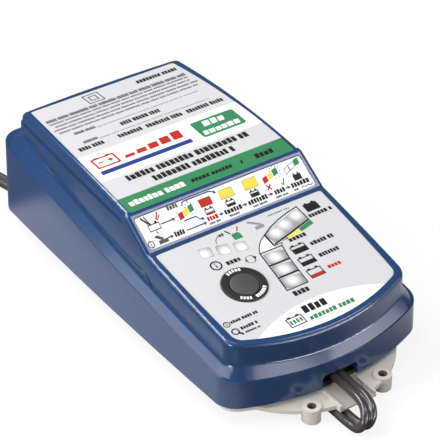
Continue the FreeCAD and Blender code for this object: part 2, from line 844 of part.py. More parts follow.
LABEL_TOP = size["recess_depth"] - size["label_thickness"]
flange_low = ROOF + size["lens_flange_thickness"]
windows = {
    "Fan": [(size["fan_length"], size["fan_width"], size["fan_x"], size["fan_drop"], size["fan_turn"])],
    "Column": [],
    "Row": [],
}
for k in (-1, 0, 1):
    along = k * size["column_pitch"]
    tip = rad("column_turn")
    windows["Column"].append((size["column_window_width"], size["column_window_height"],
                              size["column_x"] - math.sin(tip) * along,
                              size["column_drop"] + math.cos(tip) * along, -size["column_turn"]))
    along = k * size["row_pitch"]
    tip = rad("row_turn")
    windows["Row"].append((size["row_window"], size["row_window"], size["row_x"] + math.cos(tip) * along,
                           size["row_drop"] + math.sin(tip) * along, -size["row_turn"]))
lens_solids = {}
lens_holes = []
gap = size["window_clearance"]
deep = size["lens_depth"]
for name, spots in windows.items():
    parts = []
    for k, (w, h, x, drop, turn) in enumerate(spots):
        tag = name + str(k)
        parts.append(window("Lens" + tag, w, h, x, drop, turn, LABEL_TOP, deep))
        lens_holes.append(window("Hole" + tag, w, h, x, drop, turn, -3.0, ROOF + 1.0, gap))
    w = sum(q[0] for q in spots) if name == "Row" else max(q[0] for q in spots)
    h = sum(q[1] for q in spots) if name == "Column" else max(q[1] for q in spots)
    slack = 2 * size["lens_flange"]
    if name == "Column":
        h += 2 * (size["column_pitch"] - size["column_window_height"])
    if name == "Row":
        w += 2 * (size["row_pitch"] - size["row_window"])
    mid = spots[len(spots) // 2]
    parts.append(window("Flange" + name, w + slack, h + slack, mid[2], mid[3], mid[4], ROOF, flange_low))
    lens_solids[name] = fuse("Lens" + name, parts)

# Button: a bezel on the recess floor, and the moving cap held under it
bezel_ring = panel_cylinder("BezelDisc", "Dims.bezel_radius", "Dims.bezel_height + Dims.recess_depth",
                            size["button_x"], size["button_drop"], size["recess_depth"])
bezel_bore = panel_cylinder("BezelBore", "Dims.bezel_bore", "10", size["button_x"], size["button_drop"], 5.0)
bezel_cut = cut("BezelRing", bezel_ring, bezel_bore)

doc.recompute()
top_edges = []
for number, edge in enumerate(bezel_cut.Shape.Edges, 1):
    if edge.Curve.TypeId != "Part::GeomCircle":
        continue
    c = on_panel(size["button_x"], size["button_drop"], -size["bezel_height"]).Base
    if edge.Curve.Center.distanceToPoint(c) < 0.05:
        top_edges.append((number, 0.45, 0.45))
bezel = doc.addObject("Part::Fillet", "ButtonBezel")
bezel.Base = bezel_cut
bezel.Edges = top_edges
label_button_hole = panel_cylinder("LabelButtonHole", "Dims.bezel_radius + Dims.label_clearance", "10",
                                   size["button_x"], size["button_drop"], 5.0)
shell_button_hole = panel_cylinder("ShellButtonHole", "Dims.button_hole_radius", "12",
                                   size["button_x"], size["button_drop"], 6.0)

cap_top = -size["cap_height"]
flange_top = size["recess_depth"] + size["cap_flange_gap"]
flange_bottom = flange_top + size["cap_flange_thickness"]
stem_end = flange_bottom + size["stem_length"]
dome_half = size["cap_radius"] - 0.5
dome_ball = (dome_half ** 2 + size["cap_dome"] ** 2) / (2 * size["cap_dome"])
dome_mid = -cap_top + size["cap_dome"] - dome_ball + math.sqrt(dome_ball ** 2 - dome_half ** 2 / 4)
cap = new_body("ButtonCap")
cap_edges = [line((0, -stem_end, 0), (size["stem_radius"], -stem_end, 0)),
             line((size["stem_radius"], -stem_end, 0), (size["stem_radius"], -flange_bottom, 0)),
             line((size["stem_radius"], -flange_bottom, 0), (size["cap_flange_radius"], -flange_bottom, 0)),
             line((size["cap_flange_radius"], -flange_bottom, 0), (size["cap_flange_radius"], -flange_top,
                                                                   0)),
             line((size["cap_flange_radius"], -flange_top, 0), (size["cap_radius"], -flange_top, 0)),
             line((size["cap_radius"], -flange_top, 0), (size["cap_radius"], -cap_top - 0.5, 0)),
             arc((size["cap_radius"], -cap_top - 0.5, 0),
                 (size["cap_radius"] - 0.15, -cap_top - 0.15, 0), (size["cap_radius"] - 0.5, -cap_top, 0)),
             arc((dome_half, -cap_top, 0), (dome_half / 2, dome_mid, 0), (0, -cap_top + size["cap_dome"], 0)),
             line((0, -cap_top + size["cap_dome"], 0), (0, -stem_end, 0))]
cap_sketch = sketch_on(cap, "CapSketch", "XZ_Plane", cap_edges)
cap_turn = cap.newObject("PartDesign::Revolution", "CapRevolution")
cap_turn.Profile = cap_sketch
cap_turn.ReferenceAxis = (cap_sketch, ["V_Axis"])
cap_turn.Angle = 360.0
cap.Tip = cap_turn
cap.Placement = on_panel(size["button_x"], size["button_drop"], 0.0)
plunger = panel_cylinder("SwitchPlunger", "Dims.plunger_radius", "Dims.plunger_length", size["button_x"],
                         size["button_drop"], stem_end + size["plunger_length"])
switch_block = panel_box("SwitchBlock", "Dims.switch_side", "Dims.switch_side", "Dims.switch_height",
                         size["button_x"], size["button_drop"], size["control_board_depth"])
well_depth = size["control_board_depth"] - size["switch_height"] + size["plunger_well"]
switch_well = panel_cylinder("SwitchWell", "Dims.plunger_radius + Dims.plunger_clearance", "10",
                             size["button_x"], size["button_drop"], well_depth)
switch = cut("TactSwitch", switch_block, switch_well)

# Control board on four posts under the roof, its lights below the windows
board_depth = size["control_board_depth"]
board_bottom = board_depth + size["board_thickness"]
control_blank = panel_box("ControlBlank", "Dims.control_board_width", "Dims.control_board_length",
                          "Dims.board_thickness", 0.0, size["control_board_drop"], board_bottom)
posts = []
control_screw_parts = []
screw_bores = []
board_bores = []
for sx in (-1, 1):
    for sd in (-1, 1):
        tag = ("L" if sx < 0 else "R") + ("Rear" if sd < 0 else "Front")
        x = sx * size["control_post_x"]
        drop = size["control_board_drop"] + sd * size["control_post_spread"]
        posts.append(panel_cylinder("Post" + tag, "Dims.post_radius", str(board_depth - 1.6), x, drop,
                                    board_depth))
        shank = panel_cylinder("Shank" + tag, "Dims.small_screw_radius", "7", x, drop, board_bottom)
        head = panel_cylinder("Head" + tag, "Dims.small_head_radius", "Dims.small_head_height", x, drop,
                              board_bottom + size["small_head_height"])
        control_screw_parts.append(fuse("ControlScrew" + tag, [shank, head]))
        screw_bores.append(panel_cylinder("PostBore" + tag, "Dims.small_screw_radius + Dims.screw_clearance",
                                          "8.5", x, drop, board_depth + 0.5))
        board_bores.append(panel_cylinder("BoardBore" + tag, "Dims.small_screw_radius + Dims.screw_clearance",
                                          "6", x, drop, board_bottom + 2.0))
control_board = cut("ControlBoard", control_blank, fuse("ControlBoardBores", board_bores))
leds = []
for name, spots in windows.items():
    for k, (w, h, x, drop, turn) in enumerate(spots):
        shifts = (-0.36, 0.0, 0.36) if name == "Fan" else (0.0,)
        for m, part in enumerate(shifts):
            lx = x + math.cos(math.radians(turn)) * part * w
            ld = drop - math.sin(math.radians(turn)) * part * w
            leds.append(panel_cylinder("Led%s%d%d" % (name, k, m), "Dims.led_radius", "Dims.led_height", lx,
                                       ld,
                                       board_depth))

# Base plate: slab, two screw flanges, a sloping tongue for the lead, the tray rim and posts
slab = new_body("Slab")
pad(slab, "SlabPad", sketch_on(slab, "SlabSketch", "XY_Plane", skirt_outline(size["base_inset"]),
                               lifted(size["foot_height"])), "Dims.base_thickness")
tray = new_body("Tray")
tray_inset = size["lip_width"] + size["tray_clearance"]
tray_sketch = sketch_on(tray, "TraySketch", "XY_Plane", skirt_outline(tray_inset)
                        + skirt_outline(tray_inset + size["tray_wall"]), lifted(BASE_TOP - 0.5))
pad(tray, "TrayPad", tray_sketch, "Dims.tray_height + 0.5")
base_parts = [slab, tray]
base_holes = []
flange_inner = HALF - 12.0
for sy, side in ((-1, "Front"), (1, "Rear")):
    apex = HALF + (size["flange_reach"] if sy < 0 else size["rear_flange_reach"])
    disc = cylinder("FlangeDisc" + side, "Dims.flange_radius", "Dims.base_thickness",
                    y=str(sy * (apex - size["flange_radius"])), z="Dims.foot_height")
    keep = box("FlangeKeep" + side, "120", "40", "Dims.base_thickness", "-60",
               str(flange_inner if sy > 0 else -flange_inner - 40), "Dims.foot_height")
    base_parts.append(common("Flange" + side, [disc, keep]))
    for sx in (-1, 1):
        tag = side + ("L" if sx < 0 else "R")
        x = str(sx) + " * Dims.ear_spacing_x / 2"
        y = str(sy) + " * Dims.ear_spacing_y / 2"
        base_parts.append(cylinder("Ear" + tag, "Dims.ear_radius", "Dims.ear_height", x, y))
        base_holes.append(cylinder("EarHole" + tag, "Dims.ear_hole_radius", "40", x, y, "-5"))
channel_cut = box("ChannelCut", "Dims.channel_width", "60", "30", "-Dims.channel_width / 2",
                  "-Dims.shell_length / 2 - 60", "Dims.foot_height - 10")
tongue = new_body("Tongue")
tongue_end = -HALF - size["channel_reach"]
fall = size["channel_drop"]
tongue_edges = polygon([(-HALF + 3.0, BASE_TOP), (-HALF, BASE_TOP), (tongue_end, BASE_TOP - fall),
                        (tongue_end, size["foot_height"]), (-HALF + 3.0, size["foot_height"])])
pad(tongue, "TonguePad", sketch_on(tongue, "TongueSketch", "YZ_Plane", tongue_edges), "Dims.channel_width",
    0.0, True)
rails = []
for sx in (-1, 1):
    tag = "L" if sx < 0 else "R"
    x = "-Dims.channel_width / 2 - Dims.rail_width" if sx < 0 else "Dims.channel_width / 2"
    rails.append(box("Rail" + tag, "Dims.rail_width", "Dims.channel_reach", "Dims.base_thickness + 1.3",
                     x, "-Dims.shell_length / 2 - Dims.channel_reach", "Dims.foot_height"))
case_spots = []
case_screws = []
shell_posts = []
shell_bores = []
head_top = size["case_head_depth"]
for sx in (-1, 1):
    for sy, side in ((-1, "front"), (1, "rear")):
        tag = side.capitalize() + ("L" if sx < 0 else "R")
        x = str(sx) + " * Dims.case_screw_x"
        y = str(sy) + " * Dims.case_screw_" + side
        base_parts.append(cylinder("BasePost" + tag, "Dims.base_post_radius", "Dims.base_post_height + 0.5",
                                   x, y,
                                   "Dims.foot_height + Dims.base_thickness - 0.5"))
        base_holes.append(cylinder("CaseClear" + tag, "Dims.case_screw_radius + Dims.screw_clearance", "40",
                                   x, y))
        base_holes.append(cylinder("CaseSink" + tag, "Dims.case_head_radius + Dims.case_head_clearance",
                                   "Dims.case_head_depth + 5", x, y, "Dims.foot_height - 5"))
        shank = cylinder("CaseShank" + tag, "Dims.case_screw_radius", "Dims.case_screw_length", x, y,
                         "Dims.foot_height + Dims.case_head_depth")
        head = cylinder("CaseHead" + tag, "Dims.case_head_radius", "Dims.case_head_height", x, y,
                        "Dims.foot_height + Dims.case_head_depth - Dims.case_head_height")
        slot_a = box("CaseSlotA" + tag, "4", "0.8", "1.2", x + " - 2", y + " - 0.4",
                     "Dims.foot_height + Dims.case_head_depth - Dims.case_head_height - 0.2")
        slot_b = box("CaseSlotB" + tag, "0.8", "4", "1.2", x + " - 0.4", y + " - 2",
                     "Dims.foot_height + Dims.case_head_depth - Dims.case_head_height - 0.2")
        case_screws.append(cut("CaseScrew" + tag, fuse("CaseScrewBlank" + tag, [shank, head]),
                               fuse("CaseDrive" + tag, [slot_a, slot_b])))
        level = "Dims.foot_height + Dims.base_thickness + Dims.base_post_height"
        shell_posts.append(cylinder("ShellPost" + tag, "Dims.case_post_radius", "60", x, y,
                                    level + " + Dims.post_gap"))
        shell_bores.append(cylinder("ShellBore" + tag, "Dims.case_screw_radius + Dims.screw_clearance", "16",
                                    x, y,
                                    level + " - 2"))
standoffs = []
board_screws = []
main_bores = []
for sx in (-1, 1):
    for sy, side in ((-1, "front"), (1, "rear")):
        tag = side.capitalize() + ("L" if sx < 0 else "R")
        x = str(sx) + " * Dims.standoff_x"
        y = str(sy) + " * Dims.standoff_" + side
        floor = "Dims.foot_height + Dims.base_thickness"
        base_parts.append(cylinder("Standoff" + tag, "Dims.post_radius", "Dims.standoff_height + 0.5", x, y,
                                   floor + " - 0.5"))
        base_holes.append(cylinder("StandoffBore" + tag, "Dims.small_screw_radius + Dims.screw_clearance",
                                   "10",
                                   x, y, floor))
        shank = cylinder("BoardShank" + tag, "Dims.small_screw_radius", "6", x, y,
                         floor + " + Dims.standoff_height + Dims.board_thickness - 6")
        head = cylinder("BoardHead" + tag, "Dims.small_head_radius", "Dims.small_head_height", x, y,
                        floor + " + Dims.standoff_height + Dims.board_thickness")
        board_screws.append(fuse("BoardScrew" + tag, [shank, head]))
        main_bores.append(cylinder("MainBore" + tag, "Dims.small_screw_radius + Dims.screw_clearance", "40",
                                   x, y))
tray_gap = box("TrayGap", "26", "14", "10", "-13", "-Dims.shell_length / 2",
               "Dims.foot_height + Dims.base_thickness")
flat_base = cut("BaseBlank", fuse("BaseBody", base_parts), fuse("BaseCuts", [channel_cut, tray_gap]))
base = cut("BasePlate", fuse("BaseWithTongue", [flat_base, tongue] + rails), fuse("BaseHoles", base_holes))
seal = new_body("PerimeterSeal")
seal_inset = size["base_inset"] + 0.1
seal_sketch = sketch_on(seal, "SealSketch", "XY_Plane", skirt_outline(seal_inset)
                        + skirt_outline(seal_inset + size["seal_width"]), lifted(BASE_TOP))
pad(seal, "SealPad", seal_sketch, "Dims.seal_thickness")

# Front opening for the lead, the clamp that holds it, and the mains gland at the rear
mouth = new_body("Mouth")
mw = size["mouth_width"] / 2
mt = SKIRT_BOTTOM + size["mouth_height"]
mc = size["mouth_corner"]
k = mc * (1 - math.sqrt(0.5))
mouth_edges = [line((-mw, SKIRT_BOTTOM - 3, 0), (mw, SKIRT_BOTTOM - 3, 0)),
               line((mw, SKIRT_BOTTOM - 3, 0), (mw, mt - mc, 0)),
               arc((mw, mt - mc, 0), (mw - k, mt - k, 0), (mw - mc, mt, 0)),
               line((mw - mc, mt, 0), (-mw + mc, mt, 0)),
               arc((-mw + mc, mt, 0), (-mw + k, mt - k, 0), (-mw, mt - mc, 0)),
               line((-mw, mt - mc, 0), (-mw, SKIRT_BOTTOM - 3, 0))]
mouth_sketch = sketch_on(mouth, "MouthSketch", "XZ_Plane", mouth_edges,
                         Placement(Vector(0, 0, HALF - 9.0), Rotation()))
pad(mouth, "MouthPad", mouth_sketch, "20")
clamp_room = box("ClampRoom", "Dims.clamp_width + 3", "14", "Dims.clamp_height + 3",
                 "-Dims.clamp_width / 2 - 1.5", "-Dims.shell_length / 2 + Dims.shell_wall + 0.4",
                 "Dims.foot_height + Dims.base_thickness")
lead_z = size["lead_exit_z"]
hw = size["lead_width"] / 2
ht = size["lead_thickness"] / 2


def flat_section(half_width, half_height):
    """A flat twin section seen along the lead, with a shallow waist between the two cores."""
    c = half_width - half_height
    top = [arc((c, half_height, 0), (half_width, 0, 0), (c, -half_height, 0)),
           line((c, -half_height, 0), (-c, -half_height, 0)),
           arc((-c, -half_height, 0), (-half_width, 0, 0), (-c, half_height, 0)),
           line((-c, half_height, 0), (c, half_height, 0))]
    return top


clamp_blank = box("ClampBlank", "Dims.clamp_width", "Dims.clamp_depth", "Dims.clamp_height",
                  "-Dims.clamp_width / 2", "-Dims.shell_length / 2 + Dims.clamp_setback",
                  "Dims.foot_height + Dims.base_thickness")
clamp_way = new_body("ClampWay")
pad(clamp_way, "ClampWayPad", sketch_on(clamp_way, "ClampWaySketch", "XZ_Plane", flat_section(hw, ht),
                                        Placement(Vector(0, lead_z, HALF - 24.0), Rotation())), "30")
clamp_bores = []
clamp_screws = []
for sx in (-1, 1):
    tag = "L" if sx < 0 else "R"
    x = str(sx) + " * Dims.clamp_screw_x"
    y = "-Dims.shell_length / 2 + Dims.clamp_setback + Dims.clamp_depth / 2"
    z = "Dims.foot_height + Dims.base_thickness + Dims.clamp_height"
    clamp_bores.append(cylinder("ClampBore" + tag, "Dims.small_screw_radius + Dims.screw_clearance", "20", x,
                                y,
                                z + " - 12"))
    shank = cylinder("ClampShank" + tag, "Dims.small_screw_radius", "Dims.clamp_height + 1.4", x, y,
                     z + " - Dims.clamp_height - 1.4")
    head = cylinder("ClampHead" + tag, "Dims.small_head_radius", "Dims.small_head_height", x, y, z)
    clamp_screws.append(fuse("ClampScrew" + tag, [shank, head]))
clamp_hole_tool = fuse("ClampBores", clamp_bores)
clamp = cut("CableClamp", clamp_blank, fuse("ClampHoles", [clamp_way, clamp_hole_tool]))
base_final = cut("BasePlateBored", base, clamp_hole_tool)

seat_outer = HALF - 1.1
seat_inner = HALF - 3.6


def along_y(name, radius, y_from, y_to):
    """A cylinder along Y at the gland's place."""
    obj = doc.addObject("Part::Cylinder", name)
    obj.setExpression("Radius", radius)
    obj.Height = y_to - y_from
    obj.Placement = Placement(Vector(size["gland_x"], y_from, size["gland_z"]),
                              Rotation(Vector(1, 0, 0), -90))
    return obj


gland_seats = [along_y("SeatOuter", "Dims.gland_flange_radius + 0.3", seat_outer, HALF + 5),
               along_y("SeatInner", "Dims.gland_nut_radius + 0.5", HALF - 12, seat_inner),
               along_y("GlandWay", "Dims.gland_radius + Dims.gland_clearance", HALF - 12, HALF + 5)]
gland_blank = fuse("GlandBlank", [
    along_y("GlandFlange", "Dims.gland_flange_radius", seat_outer,
            seat_outer + size["gland_flange_thickness"]),
    along_y("GlandHub", "Dims.gland_radius", seat_inner - size["gland_nut_thickness"] - 1.0,
            seat_outer + size["gland_reach"]),
    along_y("GlandNut", "Dims.gland_nut_radius", seat_inner - size["gland_nut_thickness"], seat_inner)])
gland = cut("MainsInlet", gland_blank, along_y("GlandBore", "Dims.gland_bore", HALF - 30, HALF + 30))

# The finished shell
post_limit = new_body("PostLimit")
pad(post_limit, "PostLimitPad", sketch_on(post_limit, "PostLimitSketch", "XY_Plane", platform_outline(4.4)),
    "2 * Dims.crown_top")
pocket_above(post_limit, "PostLimitTop", above_profile(size["roof"] - 0.8))
post_form = common("PostsInside", [fuse("AllPosts", posts + shell_posts), post_limit])
with_posts = fuse("ShellWithPosts", [hollow, post_form])
shell_cuts = fuse("ShellCuts", recesses + lens_holes + [shell_button_hole, mouth, clamp_room] + gland_seats)
shell_bored = cut("ShellBored", with_posts, fuse("ShellBores", shell_bores + screw_bores))
shell = cut("TopShell", shell_bored, shell_cuts)

# The labels are pierced by the windows and by the bezel
label_holes = []
for name, spots in windows.items():
    for k, (w, h, x, drop, turn) in enumerate(spots):
        label_holes.append(window("LabelHole%s%d" % (name, k), w, h, x, drop, turn, -3.0, 2.0, gap))
control_label = cut("ControlLabel", sheets["LabelControl"],
                    fuse("LabelHoles", label_holes + [label_button_hole]))

# Main board and its parts
FLOOR = "Dims.foot_height + Dims.base_thickness"
BOARD = FLOOR + " + Dims.standoff_height"
ON_BOARD = BOARD + " + Dims.board_thickness"
main_blank = box("MainBlank", "Dims.main_board_width", "Dims.main_board_front + Dims.main_board_rear",
                 "Dims.board_thickness", "-Dims.main_board_width / 2", "-Dims.main_board_front", BOARD)
main_board = cut("MainBoard", main_blank, fuse("MainBores", main_bores))

core_frame = box("CoreFrame", "Dims.core_width", "Dims.core_depth", "Dims.core_height",
                 "Dims.core_x - Dims.core_width / 2", "Dims.core_y - Dims.core_depth / 2", ON_BOARD)
window_wide = "(Dims.core_width - Dims.core_leg - 2 * Dims.core_yoke) / 2"
core_windows = []
for sx in (-1, 1):
    x = "Dims.core_x + Dims.core_leg / 2" if sx > 0 else "Dims.core_x - Dims.core_leg / 2 - " + window_wide
    core_windows.append(box("CoreWindow" + ("L" if sx < 0 else "R"), window_wide, "Dims.core_depth + 2",
                            "Dims.core_height - 2 * Dims.core_yoke", x,
                            "Dims.core_y - Dims.core_depth / 2 - 1",
                            ON_BOARD + " + Dims.core_yoke"))
core = cut("TransformerCore", core_frame, fuse("CoreWindows", core_windows))
coil_x = "Dims.core_leg + 2 * (" + window_wide + " - Dims.winding_gap)"
coil_y = "Dims.core_depth + 2 * Dims.winding_reach"
coil_z = "Dims.core_height - 2 * Dims.core_yoke - 2 * Dims.winding_gap"
winding_low = ON_BOARD + " + Dims.core_yoke + Dims.winding_gap"
winding_outer = box("WindingOuter", coil_x, coil_y, coil_z, "Dims.core_x - (" + coil_x + ") / 2",
                    "Dims.core_y - (" + coil_y + ") / 2", winding_low)
rounded_winding = round_part("WindingRounded", winding_outer, "choke_corner",
                             lambda m, e: abs(e.tangentAt(e.FirstParameter).z) > 0.9)
winding_waist = box("WindingWaist", coil_x + " + 4", coil_y + " + 4", coil_z + " - 2 * Dims.bobbin_thickness",
                    "Dims.core_x - (" + coil_x + ") / 2 - 2", "Dims.core_y - (" + coil_y + ") / 2 - 2",
                    winding_low + " + Dims.bobbin_thickness")
waist_keep = box("WaistKeep", coil_x + " - 2 * Dims.bobbin_step", coil_y + " - 2 * Dims.bobbin_step", "60",
                 "Dims.core_x - (" + coil_x + ") / 2 + Dims.bobbin_step",
                 "Dims.core_y - (" + coil_y + ") / 2 + Dims.bobbin_step", winding_low + " - 5")
waist_rounded = round_part("WaistRounded", waist_keep, "choke_corner",
                           lambda m, e: abs(e.tangentAt(e.FirstParameter).z) > 0.9)
winding_cut = cut("WindingGroove", rounded_winding, cut("WaistRing", winding_waist, waist_rounded))
leg_hole = box("LegHole", "Dims.core_leg + 0.1", "Dims.core_depth + 0.1", "60",
               "Dims.core_x - Dims.core_leg / 2 - 0.05", "Dims.core_y - Dims.core_depth / 2 - 0.05",
               winding_low + " - 5")
winding = cut("TransformerCoil", winding_cut, leg_hole)

choke_ring = doc.addObject("Part::Torus", "ChokeRing")
choke_ring.setExpression("Radius1", "Dims.choke_radius")
choke_ring.setExpression("Radius2", "Dims.choke_wire_radius")
at(choke_ring, "Dims.choke_x", "Dims.choke_y", ON_BOARD + " + Dims.choke_wire_radius + 1")
choke_foot = cylinder("ChokeFoot", "Dims.choke_radius + 2", "2.2", "Dims.choke_x", "Dims.choke_y", ON_BOARD)
choke = fuse("LineChoke", [choke_ring, choke_foot])


def can(name, radius, height, x, y):
    """A capacitor can: crimped near its foot, scored on top."""
    body = cylinder(name + "Can", radius, height, x, y, ON_BOARD)
    crimp = doc.addObject("Part::Torus", name + "Crimp")
    crimp.setExpression("Radius1", radius + " + 0.5")
    crimp.Radius2 = 1.0
    at(crimp, x, y, ON_BOARD + " + 3")
    score_a = box(name + "ScoreA", radius + " * 1.2", "0.5", "0.6", x + " - " + radius + " * 0.6",
                  y + " - 0.25",
                  ON_BOARD + " + " + height + " - 0.4")
    score_b = box(name + "ScoreB", "0.5", radius + " * 1.2", "0.6", x + " - 0.25",
                  y + " - " + radius + " * 0.6",
                  ON_BOARD + " + " + height + " - 0.4")
    return cut(name, body, fuse(name + "Marks", [crimp, score_a, score_b]))


bulk = can("BulkCapacitor", "Dims.bulk_radius", "Dims.bulk_height", "Dims.bulk_x", "Dims.bulk_y")
outputs = []
for k in range(3):
    outputs.append(can("Smoothing%d" % k, "Dims.smoothing_radius", "Dims.smoothing_height",
                       "Dims.smoothing_x",
                       "Dims.smoothing_y + %d * Dims.smoothing_pitch" % k))
output_group = group("OutputCapacitors", outputs)

sink_parts = [box("SinkPlate", "Dims.sink_base", "Dims.sink_length", "Dims.sink_height", "Dims.sink_x",
                  "Dims.sink_y - Dims.sink_length / 2", ON_BOARD)]
for k in range(int(size["fin_count"])):
    sink_parts.append(box("Fin%d" % k, "Dims.fin_length + 0.2", "Dims.fin_thickness", "Dims.sink_height",
                          "Dims.sink_x + Dims.sink_base - 0.2",
                          "Dims.sink_y - Dims.sink_length / 2 + %d * (Dims.sink_length - Dims.fin_thickness)"
                          " / (Dims.fin_count - 1)" % k, ON_BOARD))
sink = fuse("HeatSink", sink_parts)
devices = []
for k in (-1, 0, 1):
    y = "Dims.sink_y + %d * Dims.device_pitch" % k
    parts = [box("Device%d" % (k + 1), "Dims.device_depth", "Dims.device_width", "Dims.device_height",
                 "Dims.sink_x - Dims.device_depth", y + " - Dims.device_width / 2",
                 ON_BOARD + " + Dims.device_lift")]
    for m in (-1, 0, 1):
        parts.append(box("Leg%d%d" % (k + 1, m + 1), "0.7", "0.9", "Dims.device_lift + 0.5",
                         "Dims.sink_x - Dims.device_depth / 2 - 0.35", y + " + %d * 2.54 - 0.45" % m,
                         ON_BOARD))
    devices.append(fuse("PowerDevice%d" % (k + 1), parts))
device_group = group("PowerDevices", devices)

fuse_place = Placement(Vector(size["fuse_x"] - size["fuse_length"] / 2, size["fuse_y"],
                              BASE_TOP + size["standoff_height"] + size["board_thickness"] + 3.6),
                       Rotation(Vector(0, 1, 0), 90))
fuse_tube = rod("FuseTube", "Dims.fuse_radius", "Dims.fuse_length", fuse_place)
clips = []
for sx in (-1, 1):
    clips.append(box("FuseClip" + ("L" if sx < 0 else "R"), "4", "2 * Dims.fuse_radius + 1.2", "5",
                     "Dims.fuse_x - 2 + %d * (Dims.fuse_length / 2 - 2.6)" % sx,
                     "Dims.fuse_y - Dims.fuse_radius - 0.6",
                     ON_BOARD))
mains_fuse = fuse("MainsFuse", [fuse_tube] + clips)
film_box = box("FilmBox", "Dims.film_width", "Dims.film_depth", "Dims.film_height",
               "Dims.film_x - Dims.film_width / 2", "Dims.film_y - Dims.film_depth / 2", ON_BOARD)
film = round_part("FilmCapacitor", film_box, "choke_corner", lambda m, e: m.z > BASE_TOP + 12)

# Link from the main board up to the control board
link_top_drop = (-size["link_y"] - size["panel_break"]) / math.cos(rad("panel_slope"))
header_high = panel_box("LinkSocket", "Dims.link_width", "Dims.link_header_depth", "Dims.link_header_height",
                        0.0, link_top_drop, board_bottom + size["link_header_height"])
link_high = on_panel(0.0, link_top_drop, board_bottom + size["link_header_height"] / 2).Base
link_plate = box("LinkPlate", "Dims.link_width - 2", "Dims.link_thickness", "10", "-Dims.link_width / 2 + 1",
                 str(link_high.y) + " - Dims.link_thickness / 2", ON_BOARD)
link_plate.setExpression("Height", str(link_high.z) + " - (" + ON_BOARD + ")")
link_low = box("LinkBlock", "Dims.link_width", "Dims.link_header_depth", "Dims.link_header_height",
               "-Dims.link_width / 2", str(link_high.y) + " - Dims.link_header_depth / 2", ON_BOARD)
link = fuse("BoardLink", [link_low, link_plate, header_high])


# The lead: straight runs joined by tangent arcs, swept with a guide that keeps its flat side down
def rounded_path(points, share=0.45):
    pts = [Vector(*p) for p in points]
    edges = []
    radii = []
    last = pts[0]
    for k in range(1, len(pts) - 1):
        a = pts[k - 1] - pts[k]
        b = pts[k + 1] - pts[k]
        short = min(a.Length, b.Length)
        a.normalize()
        b.normalize()
        turn = math.pi - a.getAngle(b)
        r = share * short / math.tan(turn / 2)
        p1 = pts[k] + a * (r * math.tan(turn / 2))
        p2 = pts[k] + b * (r * math.tan(turn / 2))
        out = a + b
        out.normalize()
        centre = pts[k] + out * (r / math.cos(turn / 2))
        back = pts[k] - centre
        back.normalize()
        edges.append(Part.LineSegment(last, p1).toShape())
        edges.append(Part.Arc(p1, centre + back * r, p2).toShape())
        radii.append((round(r, 1), round(math.degrees(turn), 1)))
        last = p2
    edges.append(Part.LineSegment(last, pts[-1]).toShape())
    return Part.Wire(edges), radii


section_area = (2 * (hw - ht)) * (2 * ht) + math.pi * ht * ht


def swept(name, path, guide=None):
    """Sweep the flat section along a path that starts along Y, its flat side level or set by a guide."""
    start = path.Edges[0].valueAt(path.Edges[0].FirstParameter)
    section = Part.Wire([Part.Arc(e.StartPoint, e.value((e.FirstParameter + e.LastParameter) / 2),
                                  e.EndPoint).toShape() if hasattr(e, "Radius") else e.toShape()
                         for e in flat_section(hw, ht)])
    section.Placement = Placement(start, Rotation(Vector(1, 0, 0), 90))
    maker = Part.BRepOffsetAPI.MakePipeShell(path)
    if guide is None:
        maker.setBiNormalMode(Vector(0, 0, 1))
    else:
        maker.setAuxiliarySpine(guide, True, 0)
    maker.setTransitionMode(1)
    maker.add(section, False, False)
    maker.build()
    maker.makeSolid()
    obj = doc.addObject("Part::Feature", name)
    obj.Shape = maker.shape()
    ratio = obj.Shape.Volume / (section_area * path.Length)
    print(name, "length", round(path.Length, 1), "volume ratio", round(ratio, 4), obj.Shape.isValid())
    return obj


run_z = ht + size["lead_floor_gap"] + 0.15
coil_z1 = ht + size["lead_floor_gap"] + size["tie_thickness"] + size["tie_gap"]
coil_z2 = coil_z1 + size["lead_thickness"] + size["layer_gap"]
pitch = size["lead_width"] + size["turn_gap"]
start_x = size["coil_start_x"]
start_y = size["coil_y"]
inner_y = -HALF + size["clamp_setback"] + size["clamp_depth"] + 4.0
loop_y = -HALF - size["loop_reach"]
rise_y = HALF + 12.0
lead_points = [(0, inner_y, lead_z), (0, -HALF - 4.0, lead_z), (-0.8, loop_y + 7.4, lead_z + 0.6),
               (-4.4, loop_y, lead_z - 2.6), (-8.0, loop_y + 0.2, run_z + 0.6), (-8.6, loop_y + 8.9, run_z),
               (-8.4, -HALF - 5.0, run_z), (-10.0, 25.0, run_z), (-41.0, rise_y, run_z),
               (start_x, rise_y + 70.0, coil_z1), (start_x, start_y, coil_z1)]
guide_points = [(10, inner_y, lead_z), (10, -HALF - 4.0, lead_z), (9.1, loop_y + 7.0, lead_z),
                (4.4, loop_y - 2.6, lead_z - 5.9), (1.5, loop_y + 2.8, run_z - 0.4),
                (1.4, loop_y + 8.9, run_z),
                (1.6, -HALF - 5.0, run_z), (-0.1, 26.5, run_z), (-31.3, rise_y + 2.4, run_z),
                (start_x + 10, rise_y + 70.9, coil_z1), (start_x + 10, start_y, coil_z1)]
lead_path, lead_radii = rounded_path(lead_points)
guide_path, guide_radii = rounded_path(guide_points)
print("lead bends (radius, turn):", lead_radii)
dc_lead = swept("DcLead", lead_path, guide_path)

# The coil put away behind the charger: two layers of half turns, spiralling in and back out
straight = size["lead_width"]
coil_edges = [Part.LineSegment(Vector(start_x, start_y, coil_z1),
                               Vector(start_x, start_y + straight, coil_z1)).toShape()]
x = start_x
y0 = start_y + straight
heading = 1
ri = size["coil_inner_radius"]
inward = [ri + pitch / 2 * k for k in (4, 3, 2, 1)]
outward = [ri + pitch / 2 * k for k in (1, 2, 3)]


